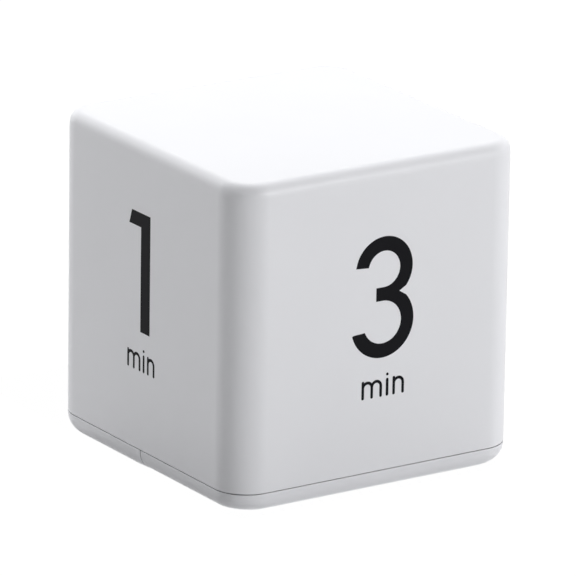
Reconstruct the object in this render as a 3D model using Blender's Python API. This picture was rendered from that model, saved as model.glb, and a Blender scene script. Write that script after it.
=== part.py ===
"""Cube timer: minute faces on four sides, a display end and a sliding battery door.

The timer stands on its display end. The origin is the middle of that end, +Z points
to the blank face, -X to the one minute face, -Y to the three minute face, +X to the
five minute face and +Y to the ten minute face. The front half of the display end is
the display cover. The rear half is the battery door, which slides off towards +Y.
"""

import bpy
import bmesh
from math import acos, cos, pi, radians, sin, sqrt, tau
from mathutils import Euler, Matrix, Vector

# Gaps and joins
CLEARANCE = 0.0003           # gap between pieces that touch on the real timer
OVERRUN = 0.0010             # how far a cutter runs past what it cuts
ROOT = 0.0006                # how deep a rib or a tab is rooted in its wall

# Housing: the five sided shell
CASE_WIDTH = 0.0635
CASE_HEIGHT = 0.0640
CORNER_RADIUS = 0.0070       # upright edges, outside
TOP_EDGE_RADIUS = 0.0024     # edges of the blank face, outside
CASE_WALL = 0.0022
CEILING_FILLET = 0.0015      # inside edge of the blank face

# Display end: the band under the parting line and what stands on it
BAND_HEIGHT = 0.0047         # all of it is a rounded edge
COVER_FLOOR = 0.0020
LIP_HEIGHT = 0.0028          # lip inside the housing, above the band
LIP_THICKNESS = 0.0012
STEP_THICKNESS = 0.0016      # wall between the display bay and the battery door
RIM_HEIGHT = 0.0014          # rear rim round the cells, above the parting line
HOOK_REACH = 0.0006          # catch hooks of the front lip, into the housing wall
HOOK_WIDTH = 0.0060
HOOK_SPACING = 0.0300
HOOK_HEIGHT = 0.0015
HOOK_LIFT = 0.0009           # from the parting line up to a hook

# Battery door
DOOR_LENGTH = 0.0307
DOOR_WALL = 0.0018
DOOR_TAB_REACH = 0.00135     # tabs that run in the side channels of the cover
DOOR_TAB_THICKNESS = 0.0008
DOOR_TAB_SETDOWN = 0.0002    # from the door's rim down to a tab
DOOR_TAB_LENGTH = 0.0050
DOOR_TAB_COUNT = 3
DOOR_TAB_START = 0.0010      # from the door's front edge to the first tab
DOOR_TAB_END = 0.0007        # from the last tab to where the door's corner begins
GRIP_WIDTH = 0.0180          # ribbed thumb rest
GRIP_LENGTH = 0.0074
GRIP_SUNK = 0.0007
GRIP_EDGE = 0.0117           # from the rear face to the middle of the thumb rest
GRIP_RIDGE_WIDTH = 0.0007
GRIP_RIDGE_HEIGHT = 0.0005
GRIP_RIDGE_PITCH = 0.0015
GRIP_RIDGE_COUNT = 4
ARROW_WIDTH = 0.0056
ARROW_LENGTH = 0.0034
ARROW_SUNK = 0.0004
ARROW_GRIP_GAP = 0.0080      # from the arrow's foot to the middle of the thumb rest

# Cells and the box that holds them
CELL_EDGE_RADIUS = 0.0005
CELL_END_RECESS = 0.0004
CELL_END_RIM = 0.0010
NUB_RADIUS = 0.0019
NUB_LENGTH = 0.0010
CELL_WALL = 0.0012           # wall of the cell box
CELL_SETBACK = 0.00115       # from the door's front edge to the cell box's inner wall
CELL_BOX_MARGIN = 0.0017     # from the cell box's ends to the lip's inner wall
CONTACT_THICKNESS = 0.0004
CONTACT_SIDE = 0.00165        # from a cell's side in to its contact's edge
CONTACT_FOOT = 0.0009        # from the door plate up to a contact
CONTACT_DROP = 0.0017        # from a cell's crown down to its contact's top
CONTACT_TAB_WIDTH = 0.0024
CONTACT_TAB_HEIGHT = 0.0015  # above the cell box
BRIDGE_HEIGHT = 0.0040       # strip that joins the two plates of the bridge contact
SPRING_WIRE = 0.0005
SPRING_BASE_RADIUS = 0.0031
SPRING_TIP_RADIUS = 0.0022
SPRING_PITCH = 0.0010
SPRING_TURNS = 3

# Case screws: up through the rear rim into the housing's posts
CASE_SCREW_SPACING = 0.0320
CASE_SCREW_SETBACK = 0.0025  # from the cell box's inner wall to a screw's axis
CASE_SCREW_EDGE = 0.00515    # from the rear face to a screw's axis
CASE_SCREW_RADIUS = 0.00085
CASE_SCREW_LENGTH = 0.0120
CASE_SCREW_HEAD_RADIUS = 0.0015
CASE_SCREW_HEAD_HEIGHT = 0.0012
CASE_SCREW_SUNK = 0.0027     # depth of a screw's counterbore in the rim
TOWER_RADIUS = 0.0021
TOWER_HEIGHT = 0.0062        # above the parting line
POST_WIDTH = 0.0048

# Display window and lens
LENS_SIDE_OVERLAP = 0.0002   # from the front glass's edges out to the lens's
LENS_REAR_INSET = 0.0018     # from the front glass's rear edge in to the lens's
LENS_THICKNESS = 0.0010
LENS_CORNER_RADIUS = 0.0015
LENS_SUNK = 0.0002
LENS_SEAT_SHARE = 0.138      # width of the seat round the window, of the lens's length

# Liquid crystal display
GLASS_SIDE_MARGIN = 0.0084   # from the board's side edges in to the glass's
GLASS_FRONT_MARGIN = 0.00195  # from the lip's inner wall to the glass
GLASS_THICKNESS = 0.0011
GLASS_LEDGE = 0.0028         # contact ledge of the front glass
GLASS_RIB_WIDTH = 0.0010
GLASS_RIB_END = 0.00375      # from the glass's corners in to a rib's end
GLASS_RIB_HEIGHT = 0.0026
ZEBRA_END = 0.0010           # from the glass's side edges in to the strip's ends
ZEBRA_LENGTH = 0.0020

# Circuit board
BOARD_LIFT = 0.0050          # from the cover's floor to the board
BOARD_THICKNESS = 0.0012
BOARD_SIDE_MARGIN = 0.00115  # from the lip's inner wall to the board
BOARD_FRONT_MARGIN = 0.00105
BOARD_CORNER_RADIUS = 0.0030
BOARD_BOSS_RADIUS = 0.0023
BOARD_BOSS_EDGE = 0.0030     # from the board's edges to a boss's axis
BOARD_SCREW_RADIUS = 0.0010
BOARD_SCREW_LENGTH = 0.0050
BOARD_SCREW_HEAD_RADIUS = 0.0019
BOARD_SCREW_HEAD_HEIGHT = 0.0013

# Slide switch
SWITCH_OFFSET = 0.0100       # from the middle plane towards the one minute face
SWITCH_TRAVEL = 0.0025
SWITCH_POCKET_WIDTH = 0.0112
SWITCH_POCKET_LENGTH = 0.0044
SWITCH_POCKET_SUNK = 0.0010
SWITCH_POCKET_CORNER = 0.0010
THUMB_WIDTH = 0.0034
THUMB_LENGTH = 0.0020
THUMB_SUNK = 0.0004          # from the display end up to the thumb piece
THUMB_GROOVE_DEPTH = 0.0003
THUMB_GROOVE_WIDTH = 0.0004
THUMB_GROOVE_PITCH = 0.0009
THUMB_GROOVE_COUNT = 3
KNOB_PLATE_WIDTH = 0.0080
KNOB_PLATE_LENGTH = 0.0042
KNOB_PLATE_THICKNESS = 0.0009
KNOB_RIB_WIDTH = 0.00065
KNOB_RIB_LENGTH = 0.0120
KNOB_RIB_HEIGHT = 0.0012
STEM_WIDTH = 0.0012
STEM_LENGTH = 0.0010
SLIDER_WIDTH = 0.0036
FRAME_WIDTH = 0.0088
FRAME_HEIGHT = 0.0030
FRAME_WALL = 0.0003
SWITCH_BASE_THICKNESS = 0.0007

# Sound slots and piezo sounder
SLOT_OFFSET = 0.0100         # from the middle plane towards the five minute face
SLOT_WIDTH = 0.0080
SLOT_LENGTH = 0.0008
SLOT_PITCH = 0.0018
SLOT_COUNT = 3
SOUNDER_RADIUS = 0.0100
SOUNDER_THICKNESS = 0.0003
CERAMIC_RADIUS = 0.0070
CERAMIC_THICKNESS = 0.0003
SOUNDER_RING_WALL = 0.0009
SOUNDER_RING_INSET = 0.0004  # from the sounder's edge in to the ring
SOUNDER_RING_RISE = 0.0013   # above the crowns of the cell box

# Tilt switches
CAN_RADIUS = 0.0026
CAN_WALL = 0.0004
CAN_LENGTH = 0.0080
CAN_BASE_THICKNESS = 0.0012
CAN_BASE_PROUD = 0.0002
BALL_RADIUS = 0.0016
PIN_RADIUS = 0.0003
PIN_SPACING = 0.0018
CAN_OFFSET = 0.0140          # from the middle plane to a can's foot
CAN_A_SHARE = 0.471          # of the board's length, from its rear edge to a can's foot
CAN_B_SHARE = 0.730
CAN_TILT = radians(45)

# Small parts on the board
CHIP_RADIUS_SHARE = 0.20     # of the board's length
CHIP_HEIGHT = 0.0014
CHIP_SHARE = 0.584           # of the board's length, from its rear edge
CRYSTAL_RADIUS = 0.0010
CRYSTAL_LENGTH = 0.0060
CRYSTAL_SHARE = 0.292
CAPACITOR_RADIUS = 0.0025
CAPACITOR_HEIGHT = 0.0055
CAPACITOR_OFFSET = 0.0120
CAPACITOR_SHARE = 0.821
RESISTOR_WIDTH = 0.0016
RESISTOR_LENGTH = 0.0032
RESISTOR_HEIGHT = 0.0006
RESISTOR_PITCH = 0.0034
RESISTOR_COUNT = 3
RESISTOR_OFFSET = 0.0070
RESISTOR_SHARE = 0.292

# Leads
LEAD_RADIUS = 0.0005
LEAD_STEP = 0.0022           # between the points of a lead
LEAD_END_SHARE = 0.131       # of the board's length, from its rear edge to a joint
LEAD_BOSS_GAP = 0.0044       # from a boss's axis to where the red battery lead ends
LEAD_PITCH = 0.0030          # between the ends of two leads
SOUNDER_LEAD_OFFSET = 0.0065  # from the middle plane to where the red lead ends

# How finely round stretches are cut
CORNER_STEPS = 8
EDGE_STEPS = 6
ROUND_STEPS = 24
HOLE_STEPS = 16
HELIX_STEPS = 9

# Places worked out from the sizes above
HALF_WIDTH = CASE_WIDTH / 2
PARTING_Z = BAND_HEIGHT + CLEARANCE
LIP_INSET = CASE_WALL + CLEARANCE
LIP_TOP = BAND_HEIGHT + LIP_HEIGHT
CEILING_Z = CASE_HEIGHT - CASE_WALL
DOOR_FRONT = HALF_WIDTH - DOOR_LENGTH
SPLIT_Y = DOOR_FRONT - CLEARANCE
GRIP_Y = HALF_WIDTH - GRIP_EDGE
ARROW_Y = GRIP_Y - ARROW_GRIP_GAP
STEP_FRONT = SPLIT_Y - STEP_THICKNESS
RIM_TOP = PARTING_Z + RIM_HEIGHT
TAB_TOP = BAND_HEIGHT - DOOR_TAB_SETDOWN
TAB_FOOT = TAB_TOP - DOOR_TAB_THICKNESS
TAB_TIP = HALF_WIDTH - DOOR_WALL - DOOR_TAB_REACH
DECK_Z = DOOR_WALL + CLEARANCE
DOOR_STRAIGHT = DOOR_LENGTH - CORNER_RADIUS
TAB_RUN = DOOR_STRAIGHT - DOOR_TAB_START - DOOR_TAB_END - DOOR_TAB_LENGTH
DOOR_TAB_PITCH = TAB_RUN / (DOOR_TAB_COUNT - 1)
BAY_HALF = HALF_WIDTH - LIP_INSET - LIP_THICKNESS

SCREW_Y = HALF_WIDTH - CASE_SCREW_EDGE
CELL_BOX_FRONT = DOOR_FRONT + CELL_SETBACK
CELL_BOX_REAR = SCREW_Y - CASE_SCREW_SETBACK
CELL_RADIUS = (CELL_BOX_REAR - CELL_BOX_FRONT - 3 * CLEARANCE) / 4
CELL_BORE = CELL_RADIUS + CLEARANCE
CELL_SHELL = CELL_BORE + CELL_WALL
CELL_Z = DECK_Z + CELL_RADIUS
FRONT_CELL_Y = CELL_BOX_FRONT + CELL_BORE
REAR_CELL_Y = FRONT_CELL_Y + 2 * CELL_RADIUS + CLEARANCE
CELL_BOX_TOP = CELL_Z + CELL_SHELL
SPRING_LENGTH = SPRING_TURNS * SPRING_PITCH + SPRING_WIRE
CONTACT_STACK = CLEARANCE + CONTACT_THICKNESS + CLEARANCE
CELL_BOX_HALF = BAY_HALF - CELL_BOX_MARGIN - CELL_WALL
CELL_LENGTH = 2 * (CELL_BOX_HALF - CONTACT_STACK) - SPRING_LENGTH - CLEARANCE
CONTACT_FACE = CELL_BOX_HALF - CLEARANCE - CONTACT_THICKNESS
CONTACT_HALF_WIDTH = CELL_RADIUS - CONTACT_SIDE
CONTACT_Z = DOOR_WALL + CONTACT_FOOT
CONTACT_TOP = CELL_Z + CELL_RADIUS - CONTACT_DROP
CONTACT_TAB_TOP = CELL_BOX_TOP + CONTACT_TAB_HEIGHT

SCREW_SEAT = DECK_Z + CASE_SCREW_SUNK
SCREW_HOLE_RADIUS = CASE_SCREW_RADIUS + CLEARANCE
TOWER_TOP = PARTING_Z + TOWER_HEIGHT
SCREW_TIP = SCREW_SEAT - CLEARANCE + CASE_SCREW_LENGTH

SWITCH_X = -SWITCH_OFFSET
SWITCH_Y = STEP_FRONT - CLEARANCE - KNOB_PLATE_LENGTH / 2
SWITCH_REST_X = SWITCH_X - SWITCH_TRAVEL / 2
THUMB_SLOT_WIDTH = THUMB_WIDTH + SWITCH_TRAVEL + 2 * CLEARANCE
THUMB_SLOT_LENGTH = THUMB_LENGTH + 2 * CLEARANCE
KNOB_Z = COVER_FLOOR + CLEARANCE
KNOB_TOP = KNOB_Z + KNOB_PLATE_THICKNESS
KNOB_FRONT = SWITCH_Y - KNOB_PLATE_LENGTH / 2
FRAME_LENGTH = KNOB_PLATE_LENGTH

BOARD_Z = COVER_FLOOR + BOARD_LIFT
BOARD_TOP = BOARD_Z + BOARD_THICKNESS
BOARD_REAR = CELL_BOX_FRONT - CELL_WALL - 2 * CLEARANCE
BOARD_WIDTH = 2 * (BAY_HALF - BOARD_SIDE_MARGIN)
BOARD_LENGTH = BOARD_REAR + BAY_HALF - BOARD_FRONT_MARGIN
BOARD_BOSS_X = BOARD_WIDTH / 2 - BOARD_BOSS_EDGE
BOARD_Y = BOARD_REAR - BOARD_LENGTH / 2
ON_BOARD = BOARD_TOP + CLEARANCE
BOARD_SCREW_TIP = ON_BOARD - BOARD_SCREW_LENGTH
FRAME_TOP = BOARD_Z - CLEARANCE
FRAME_Z = FRAME_TOP - FRAME_HEIGHT
STEM_FOOT = KNOB_Z + CLEARANCE
LEAD_END_Y = BOARD_REAR - LEAD_END_SHARE * BOARD_LENGTH
LEAD_RED_X = BOARD_BOSS_X - LEAD_BOSS_GAP
LEAD_BLACK_X = LEAD_RED_X - LEAD_PITCH
LEAD_END_Z = ON_BOARD + LEAD_RADIUS

KNOB_RIB_FRONT = KNOB_FRONT - CLEARANCE - KNOB_RIB_WIDTH
GLASS_REAR = KNOB_RIB_FRONT - CLEARANCE
GLASS_FRONT = GLASS_FRONT_MARGIN - BAY_HALF
GLASS_LENGTH = GLASS_REAR - GLASS_FRONT
GLASS_Y = GLASS_REAR - GLASS_LENGTH / 2
GLASS_WIDTH = BOARD_WIDTH - 2 * GLASS_SIDE_MARGIN
GLASS_Z = COVER_FLOOR + CLEARANCE
GLASS_TOP = GLASS_Z + GLASS_THICKNESS
REAR_GLASS_Z = GLASS_TOP + CLEARANCE
LENS_WIDTH = GLASS_WIDTH + 2 * LENS_SIDE_OVERLAP
LENS_FRONT = GLASS_FRONT + CLEARANCE
LENS_LENGTH = GLASS_REAR - LENS_REAR_INSET - LENS_FRONT
DISPLAY_Y = LENS_FRONT + LENS_LENGTH / 2
LENS_SEAT = LENS_SEAT_SHARE * LENS_LENGTH
LENS_TOP = LENS_SUNK + LENS_THICKNESS

HALF_CELL_PITCH = (REAR_CELL_Y - FRONT_CELL_Y) / 2
CELL_BOX_VALLEY = CELL_Z + sqrt(CELL_SHELL ** 2 - HALF_CELL_PITCH ** 2)
SOUNDER_Y = FRONT_CELL_Y + HALF_CELL_PITCH
SOUNDER_RING_TOP = CELL_BOX_TOP + SOUNDER_RING_RISE
SOUNDER_Z = SOUNDER_RING_TOP + CLEARANCE
SOUNDER_TOP = SOUNDER_Z + SOUNDER_THICKNESS
CERAMIC_Z = SOUNDER_TOP + CLEARANCE
CERAMIC_TOP = CERAMIC_Z + CERAMIC_THICKNESS

CAN_FOOT_Z = ON_BOARD + CAN_RADIUS * sin(CAN_TILT)
CAN_BASE_TOP = CAN_BASE_THICKNESS - CAN_BASE_PROUD
BALL_REST = CAN_BASE_TOP + CLEARANCE + BALL_RADIUS


def clear_scene():
    """Remove the objects that a new scene starts with."""
    for item in list(bpy.data.objects):
        bpy.data.objects.remove(item, do_unlink=True)


def material(name, color, roughness, metallic=0.0, alpha=1.0):
    """Return a Principled material, made once for each name."""
    if name in bpy.data.materials:
        return bpy.data.materials[name]
    made = bpy.data.materials.new(name)
    made.use_nodes = True
    shader = made.node_tree.nodes["Principled BSDF"]
    shader.inputs["Base Color"].default_value = (*color, 1.0)
    shader.inputs["Roughness"].default_value = roughness
    shader.inputs["Metallic"].default_value = metallic
    shader.inputs["Alpha"].default_value = alpha
    made.diffuse_color = (*color, alpha)
    return made


def white_plastic():
    """Satin white moulded plastic of the case."""
    return material("white_plastic", (0.86, 0.86, 0.88), 0.42)


def black_plastic():
    """Dark moulded plastic of the small electrical parts."""
    return material("black_plastic", (0.03, 0.03, 0.035), 0.45)


def clear_plastic():
    """Clear window plastic."""
    return material("clear_plastic", (0.80, 0.84, 0.84), 0.08, alpha=0.35)


def display_glass():
    """Grey-green glass of the liquid crystal display."""
    return material("display_glass", (0.42, 0.46, 0.40), 0.15)


def contact_rubber():
    """Dark elastomer that carries the display's contacts."""
    return material("contact_rubber", (0.10, 0.10, 0.11), 0.80)


def board_laminate():
    """Green fibreglass board."""
    return material("board_laminate", (0.03, 0.22, 0.09), 0.45)


def plated_steel():
    """Nickel plated steel of contacts, cans and screws."""
    return material("plated_steel", (0.70, 0.70, 0.68), 0.28, metallic=1.0)


def brass():
    """Brass of the sounder plate."""
    return material("brass", (0.78, 0.60, 0.27), 0.30, metallic=1.0)


def ceramic():
    """Silvered ceramic of the sounder."""
    return material("ceramic", (0.80, 0.79, 0.76), 0.50)


def cell_wrap():
    """Printed wrap of a cell."""
    return material("cell_wrap", (0.10, 0.20, 0.42), 0.35)


def lead_insulation(name, color):
    """Soft insulation of a lead."""
    return material(name, color, 0.50)


def add_mesh(name, bm, finish):
    """Turn a bmesh into an object of the scene, shaded smooth between sharp edges."""
    bmesh.ops.recalc_face_normals(bm, faces=bm.faces)
    mesh = bpy.data.meshes.new(name)
    bm.to_mesh(mesh)
    bm.free()
    mesh.shade_smooth()
    mesh.set_sharp_from_angle(angle=radians(32))
    mesh.materials.append(finish)
    item = bpy.data.objects.new(name, mesh)
    bpy.context.scene.collection.objects.link(item)
    return item


def add_empty(name, location, turn=(0, 0, 0)):
    """Add an empty that marks a joint's axis or carries tilted parts."""
    empty = bpy.data.objects.new(name, None)
    empty.location = location
    empty.rotation_euler = Euler(turn)
    empty.empty_display_size = CORNER_RADIUS
    bpy.context.scene.collection.objects.link(empty)
    return empty


def hang_on(item, empty, placed_by_empty=False):
    """Parent an object to an empty; its mesh stays where it was modelled."""
    item.parent = empty
    if placed_by_empty:
        return
    item.data.transform(Matrix.Translation(-empty.location))


def combine(target, operand, operation):
    """Cut or fuse an operand, which stays in the scene as a guide."""
    modifier = target.modifiers.new(operand.name, "BOOLEAN")
    modifier.operation = operation
    modifier.solver = "EXACT"
    modifier.object = operand
    operand.hide_render = True
    operand.display_type = "WIRE"


def cut(target, operand):
    """Take the operand's volume out of the target."""
    combine(target, operand, "DIFFERENCE")


def fuse(target, operand):
    """Add the operand's volume to the target."""
    combine(target, operand, "UNION")


def span(centre, size):
    """Return the two ends of a size set evenly about a centre."""
    return centre - size / 2, centre + size / 2


def quarter_angles(steps):
    """Return the angles of a quarter turn, both ends included."""
    return [pi / 2 * step / steps for step in range(steps + 1)]


def rounded_ring(half_x, half_y, radius, z, centre=(0, 0), steps=CORNER_STEPS):
    """Return a rectangle with round corners as points, anticlockwise seen from +Z."""
    ring = []
    corners = ((1, 1), (-1, 1), (-1, -1), (1, -1))
    for index, (side_x, side_y) in enumerate(corners):
        corner_x = centre[0] + side_x * (half_x - radius)
        corner_y = centre[1] + side_y * (half_y - radius)
        for angle in quarter_angles(steps):
            turned = angle + index * pi / 2
            ring.append((corner_x + radius * cos(turned), corner_y + radius * sin(turned), z))
    return ring


def case_ring(inset, z):
    """Return the case's outline drawn in by an inset, with its corners kept parallel."""
    half = HALF_WIDTH - inset
    radius = max(CORNER_RADIUS - inset, CLEARANCE)
    return rounded_ring(half, half, radius, z)


def circle(radius, z, steps=ROUND_STEPS, centre=(0, 0)):
    """Return a circle as points at one height."""
    turns = [tau * step / steps for step in range(steps)]
    return [(centre[0] + radius * cos(t), centre[1] + radius * sin(t), z) for t in turns]


def skin(rings, closed=False):
    """Skin equally long rings; the ends are capped, or joined where it is closed."""
    bm = bmesh.new()
    levels = [[bm.verts.new(point) for point in ring] for ring in rings]
    pairs = list(zip(levels, levels[1:]))
    if closed:
        pairs.append((levels[-1], levels[0]))
    for lower, upper in pairs:
        for index, corner in enumerate(lower):
            following = (index + 1) % len(lower)
            bm.faces.new((corner, lower[following], upper[following], upper[index]))
    if not closed:
        bm.faces.new(list(reversed(levels[0])))
        bm.faces.new(levels[-1])
    return bm


def block(name, x_ends, y_ends, z_ends, finish=None):
    """Add a rectangular solid given by its ends along each axis."""
    low_x, high_x = x_ends
    low_y, high_y = y_ends
    outline = [(low_x, low_y), (high_x, low_y), (high_x, high_y), (low_x, high_y)]
    rings = [[(x, y, z) for x, y in outline] for z in z_ends]
    return add_mesh(name, skin(rings), finish or white_plastic())


def bar_along_x(name, outline, x_ends, finish=None):
    """Extrude an outline of (y, z) points along X."""
    rings = [[(x, y, z) for y, z in outline] for x in x_ends]
    return add_mesh(name, skin(rings), finish or white_plastic())


def turned(name, profile, finish=None, centre=(0, 0), steps=ROUND_STEPS, closed=False):
    """Turn a profile of (radius, z) points about an upright axis."""
    rings = [circle(radius, z, steps, centre) for radius, z in profile]
    return add_mesh(name, skin(rings, closed), finish or white_plastic())


def disc(name, radius, z_ends, centre=(0, 0), finish=None, steps=ROUND_STEPS):
    """Add an upright cylinder."""
    return turned(name, [(radius, z) for z in z_ends], finish, centre, steps)


def rod(start, end, radius, steps=HOLE_STEPS):
    """Return a bmesh cylinder that runs from one point to another."""
    start, end = Vector(start), Vector(end)
    axis = end - start
    turn = axis.to_track_quat("Z", "Y").to_matrix().to_4x4()
    bm = skin([circle(radius, 0, steps), circle(radius, axis.length, steps)])
    bmesh.ops.transform(bm, matrix=Matrix.Translation(start) @ turn, verts=bm.verts)
    return bm


def edge_arc(radius):
    """Return (inset, z) along the band's rounded edge, parallel to it at a radius.

    The arc runs from the level of the band's top down to its lowest point.
    """
    arc = []
    for angle in quarter_angles(EDGE_STEPS):
        arc.append((BAND_HEIGHT - radius * cos(angle), BAND_HEIGHT - radius * sin(angle)))
    return arc


def top_fillet(inset, z, radius, steps):
    """Return (inset, z) round an upper edge, from its upright wall up to its top."""
    arc = []
    for angle in quarter_angles(steps):
        arc.append((inset + radius * (1 - cos(angle)), z - radius * (1 - sin(angle))))
    return arc


def case_skin(profile, closed=False):
    """Skin the case's outline through a profile of (inset, z) points."""
    return skin([case_ring(inset, z) for inset, z in profile], closed)


def main_housing():
    """Five sided shell with two screw posts on its rear wall and catches in its front."""
    inside = top_fillet(CASE_WALL, CEILING_Z, CEILING_FILLET, EDGE_STEPS // 2)
    outside = top_fillet(0, CASE_HEIGHT, TOP_EDGE_RADIUS, EDGE_STEPS)
    profile = list(reversed(inside)) + [(CASE_WALL, PARTING_Z), (0, PARTING_Z)] + outside
    housing = add_mesh("main_housing", case_skin(profile), white_plastic())
    for name, side in (("left", -1), ("right", 1)):
        x = side * CASE_SCREW_SPACING / 2
        post_y = (SCREW_Y - TOWER_RADIUS, HALF_WIDTH - CASE_WALL + ROOT)
        post_z = (TOWER_TOP + CLEARANCE, CEILING_Z + ROOT)
        fuse(housing, block(f"guide_post_{name}", span(x, POST_WIDTH), post_y, post_z))
        hole_z = (TOWER_TOP - OVERRUN, SCREW_TIP + CLEARANCE)
        hole = disc(f"guide_post_hole_{name}", SCREW_HOLE_RADIUS, hole_z, (x, SCREW_Y),
                    steps=HOLE_STEPS)
        cut(housing, hole)
        cut(housing, hook_recess(f"guide_hook_recess_{name}", side))
    return housing


def hook_recess(name, side):
    """Pocket in the housing's front wall that a catch hook of the cover snaps into."""
    x = side * HOOK_SPACING / 2
    inner_face = CASE_WALL - HALF_WIDTH
    pocket_floor = LIP_INSET - HALF_WIDTH - HOOK_REACH - CLEARANCE
    low = PARTING_Z + HOOK_LIFT - CLEARANCE
    high = PARTING_Z + HOOK_LIFT + HOOK_HEIGHT + CLEARANCE
    return block(name, span(x, HOOK_WIDTH + 2 * CLEARANCE),
                 (pocket_floor, inner_face + OVERRUN), (low, high))


def cover_block():
    """Solid band and lip of the whole display end, before it is hollowed."""
    lip = [(LIP_INSET, BAND_HEIGHT), (LIP_INSET, LIP_TOP)]
    profile = list(reversed(edge_arc(BAND_HEIGHT))) + lip
    return add_mesh("display_cover", case_skin(profile), white_plastic())


def door_space():
    """Cutter for the room of the battery door and the gap between it and the cover."""
    tub = list(reversed(edge_arc(BAND_HEIGHT - DOOR_WALL - CLEARANCE)))
    rise = BAND_HEIGHT + CLEARANCE / 2
    tub_inset = DOOR_WALL + CLEARANCE
    around = [(tub_inset, rise), (-OVERRUN, rise), (-OVERRUN, -OVERRUN)]
    cutter = add_mesh("guide_door_space", case_skin(tub + around), white_plastic())
    wide = (-HALF_WIDTH - 2 * OVERRUN, HALF_WIDTH + 2 * OVERRUN)
    ahead = (wide[0], SPLIT_Y)
    keep_out = block("guide_door_space_end", wide, ahead, (-2 * OVERRUN, LIP_TOP))
    cut(cutter, keep_out)
    return cutter


def cover_hollow():
    """Cutter for the display bay, and over the rear rim for the inside of the lip."""
    inset = LIP_INSET + LIP_THICKNESS
    profile = [(inset, COVER_FLOOR), (inset, LIP_TOP + OVERRUN)]
    cutter = add_mesh("guide_cover_hollow", case_skin(profile), white_plastic())
    wide = (-HALF_WIDTH, HALF_WIDTH)
    rear = (STEP_FRONT, HALF_WIDTH)
    cut(cutter, block("guide_rear_rim", wide, rear, (0, RIM_TOP)))
    return cutter


def arc_points(centre_y, centre_z, radius, start, end, steps):
    """Return (y, z) points along an arc, both ends included."""
    angles = [start + (end - start) * step / steps for step in range(steps + 1)]
    return [(centre_y + radius * cos(a), centre_z + radius * sin(a)) for a in angles]


def cell_box():
    """Outer block of the cell box: two barrels side by side over straight walls."""
    valley = acos(HALF_CELL_PITCH / CELL_SHELL)
    steps = ROUND_STEPS // 2
    outline = [(REAR_CELL_Y + CELL_SHELL, BAND_HEIGHT)]
    outline += arc_points(REAR_CELL_Y, CELL_Z, CELL_SHELL, 0, pi - valley, steps)
    outline += arc_points(FRONT_CELL_Y, CELL_Z, CELL_SHELL, valley, pi, steps)[1:]
    outline.append((FRONT_CELL_Y - CELL_SHELL, BAND_HEIGHT))
    half = CELL_BOX_HALF + CELL_WALL
    return bar_along_x("guide_cell_box", outline, (-half, half))


def cell_channel(name, y):
    """Cutter for the room of one cell, open to the battery door."""
    outline = [(y + CELL_BORE, -OVERRUN)]
    outline += arc_points(y, CELL_Z, CELL_BORE, 0, pi, ROUND_STEPS // 2)
    outline.append((y - CELL_BORE, -OVERRUN))
    return bar_along_x(name, outline, (-CELL_BOX_HALF, CELL_BOX_HALF))


def sounder_ring():
    """Round rib on the cell box that the sounder is glued to."""
    outer = SOUNDER_RADIUS - SOUNDER_RING_INSET
    inner = outer - SOUNDER_RING_WALL
    foot = CELL_BOX_VALLEY - ROOT
    profile = [(inner, foot), (outer, foot), (outer, SOUNDER_RING_TOP),
               (inner, SOUNDER_RING_TOP)]
    return turned("guide_sounder_ring", profile, centre=(0, SOUNDER_Y), closed=True)


def catch_hook(name, side):
    """Wedge on the front lip that snaps into the housing's front wall."""
    x = side * HOOK_SPACING / 2
    lip_face = LIP_INSET - HALF_WIDTH
    low = PARTING_Z + HOOK_LIFT
    wedge = [(lip_face + ROOT, low), (lip_face - HOOK_REACH, low),
             (lip_face + ROOT, low + HOOK_HEIGHT)]
    return bar_along_x(name, wedge, span(x, HOOK_WIDTH))


def board_boss_places():
    """Return name and (x, y) of the four bosses that carry the circuit board."""
    half = BOARD_BOSS_X
    front = BOARD_REAR - BOARD_LENGTH + BOARD_BOSS_EDGE
    rear = BOARD_REAR - BOARD_BOSS_EDGE
    return (("front_left", (-half, front)), ("front_right", (half, front)),
            ("rear_left", (-half, rear)), ("rear_right", (half, rear)))


def case_screw_places():
    """Return name and (x, y) of the two case screws."""
    half = CASE_SCREW_SPACING / 2
    return (("left", (-half, SCREW_Y)), ("right", (half, SCREW_Y)))


def add_screw_towers(cover):
    """Towers of the rear rim with a through hole and a counterbore for each screw."""
    bore_radius = CASE_SCREW_HEAD_RADIUS + CLEARANCE
    for name, place in case_screw_places():
        tower_z = (BAND_HEIGHT, TOWER_TOP)
        fuse(cover, disc(f"guide_tower_{name}", TOWER_RADIUS, tower_z, place))
        hole_z = (DECK_Z - OVERRUN, TOWER_TOP + OVERRUN)
        cut(cover, disc(f"guide_tower_hole_{name}", SCREW_HOLE_RADIUS, hole_z, place,
                        steps=HOLE_STEPS))
        bore_z = (DECK_Z - OVERRUN, SCREW_SEAT)
        cut(cover, disc(f"guide_counterbore_{name}", bore_radius, bore_z, place,
                        steps=HOLE_STEPS))


def add_board_bosses(cover):
    """Bosses on the display bay's floor, each with a blind hole for a board screw."""
    for name, place in board_boss_places():
        boss_z = (COVER_FLOOR - ROOT, BOARD_Z - CLEARANCE)
        fuse(cover, disc(f"guide_boss_{name}", BOARD_BOSS_RADIUS, boss_z, place))
        hole_z = (BOARD_SCREW_TIP - CLEARANCE, BOARD_Z + OVERRUN)
        hole_radius = BOARD_SCREW_RADIUS + CLEARANCE
        cut(cover, disc(f"guide_boss_hole_{name}", hole_radius, hole_z, place,
                        steps=HOLE_STEPS))


def rounded_prism(name, size_x, size_y, radius, z_ends, centre, finish=None):
    """Add an upright prism with round corners."""
    steps = EDGE_STEPS // 2
    rings = [rounded_ring(size_x / 2, size_y / 2, radius, z, centre, steps) for z in z_ends]
    return add_mesh(name, skin(rings), finish or white_plastic())


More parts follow.
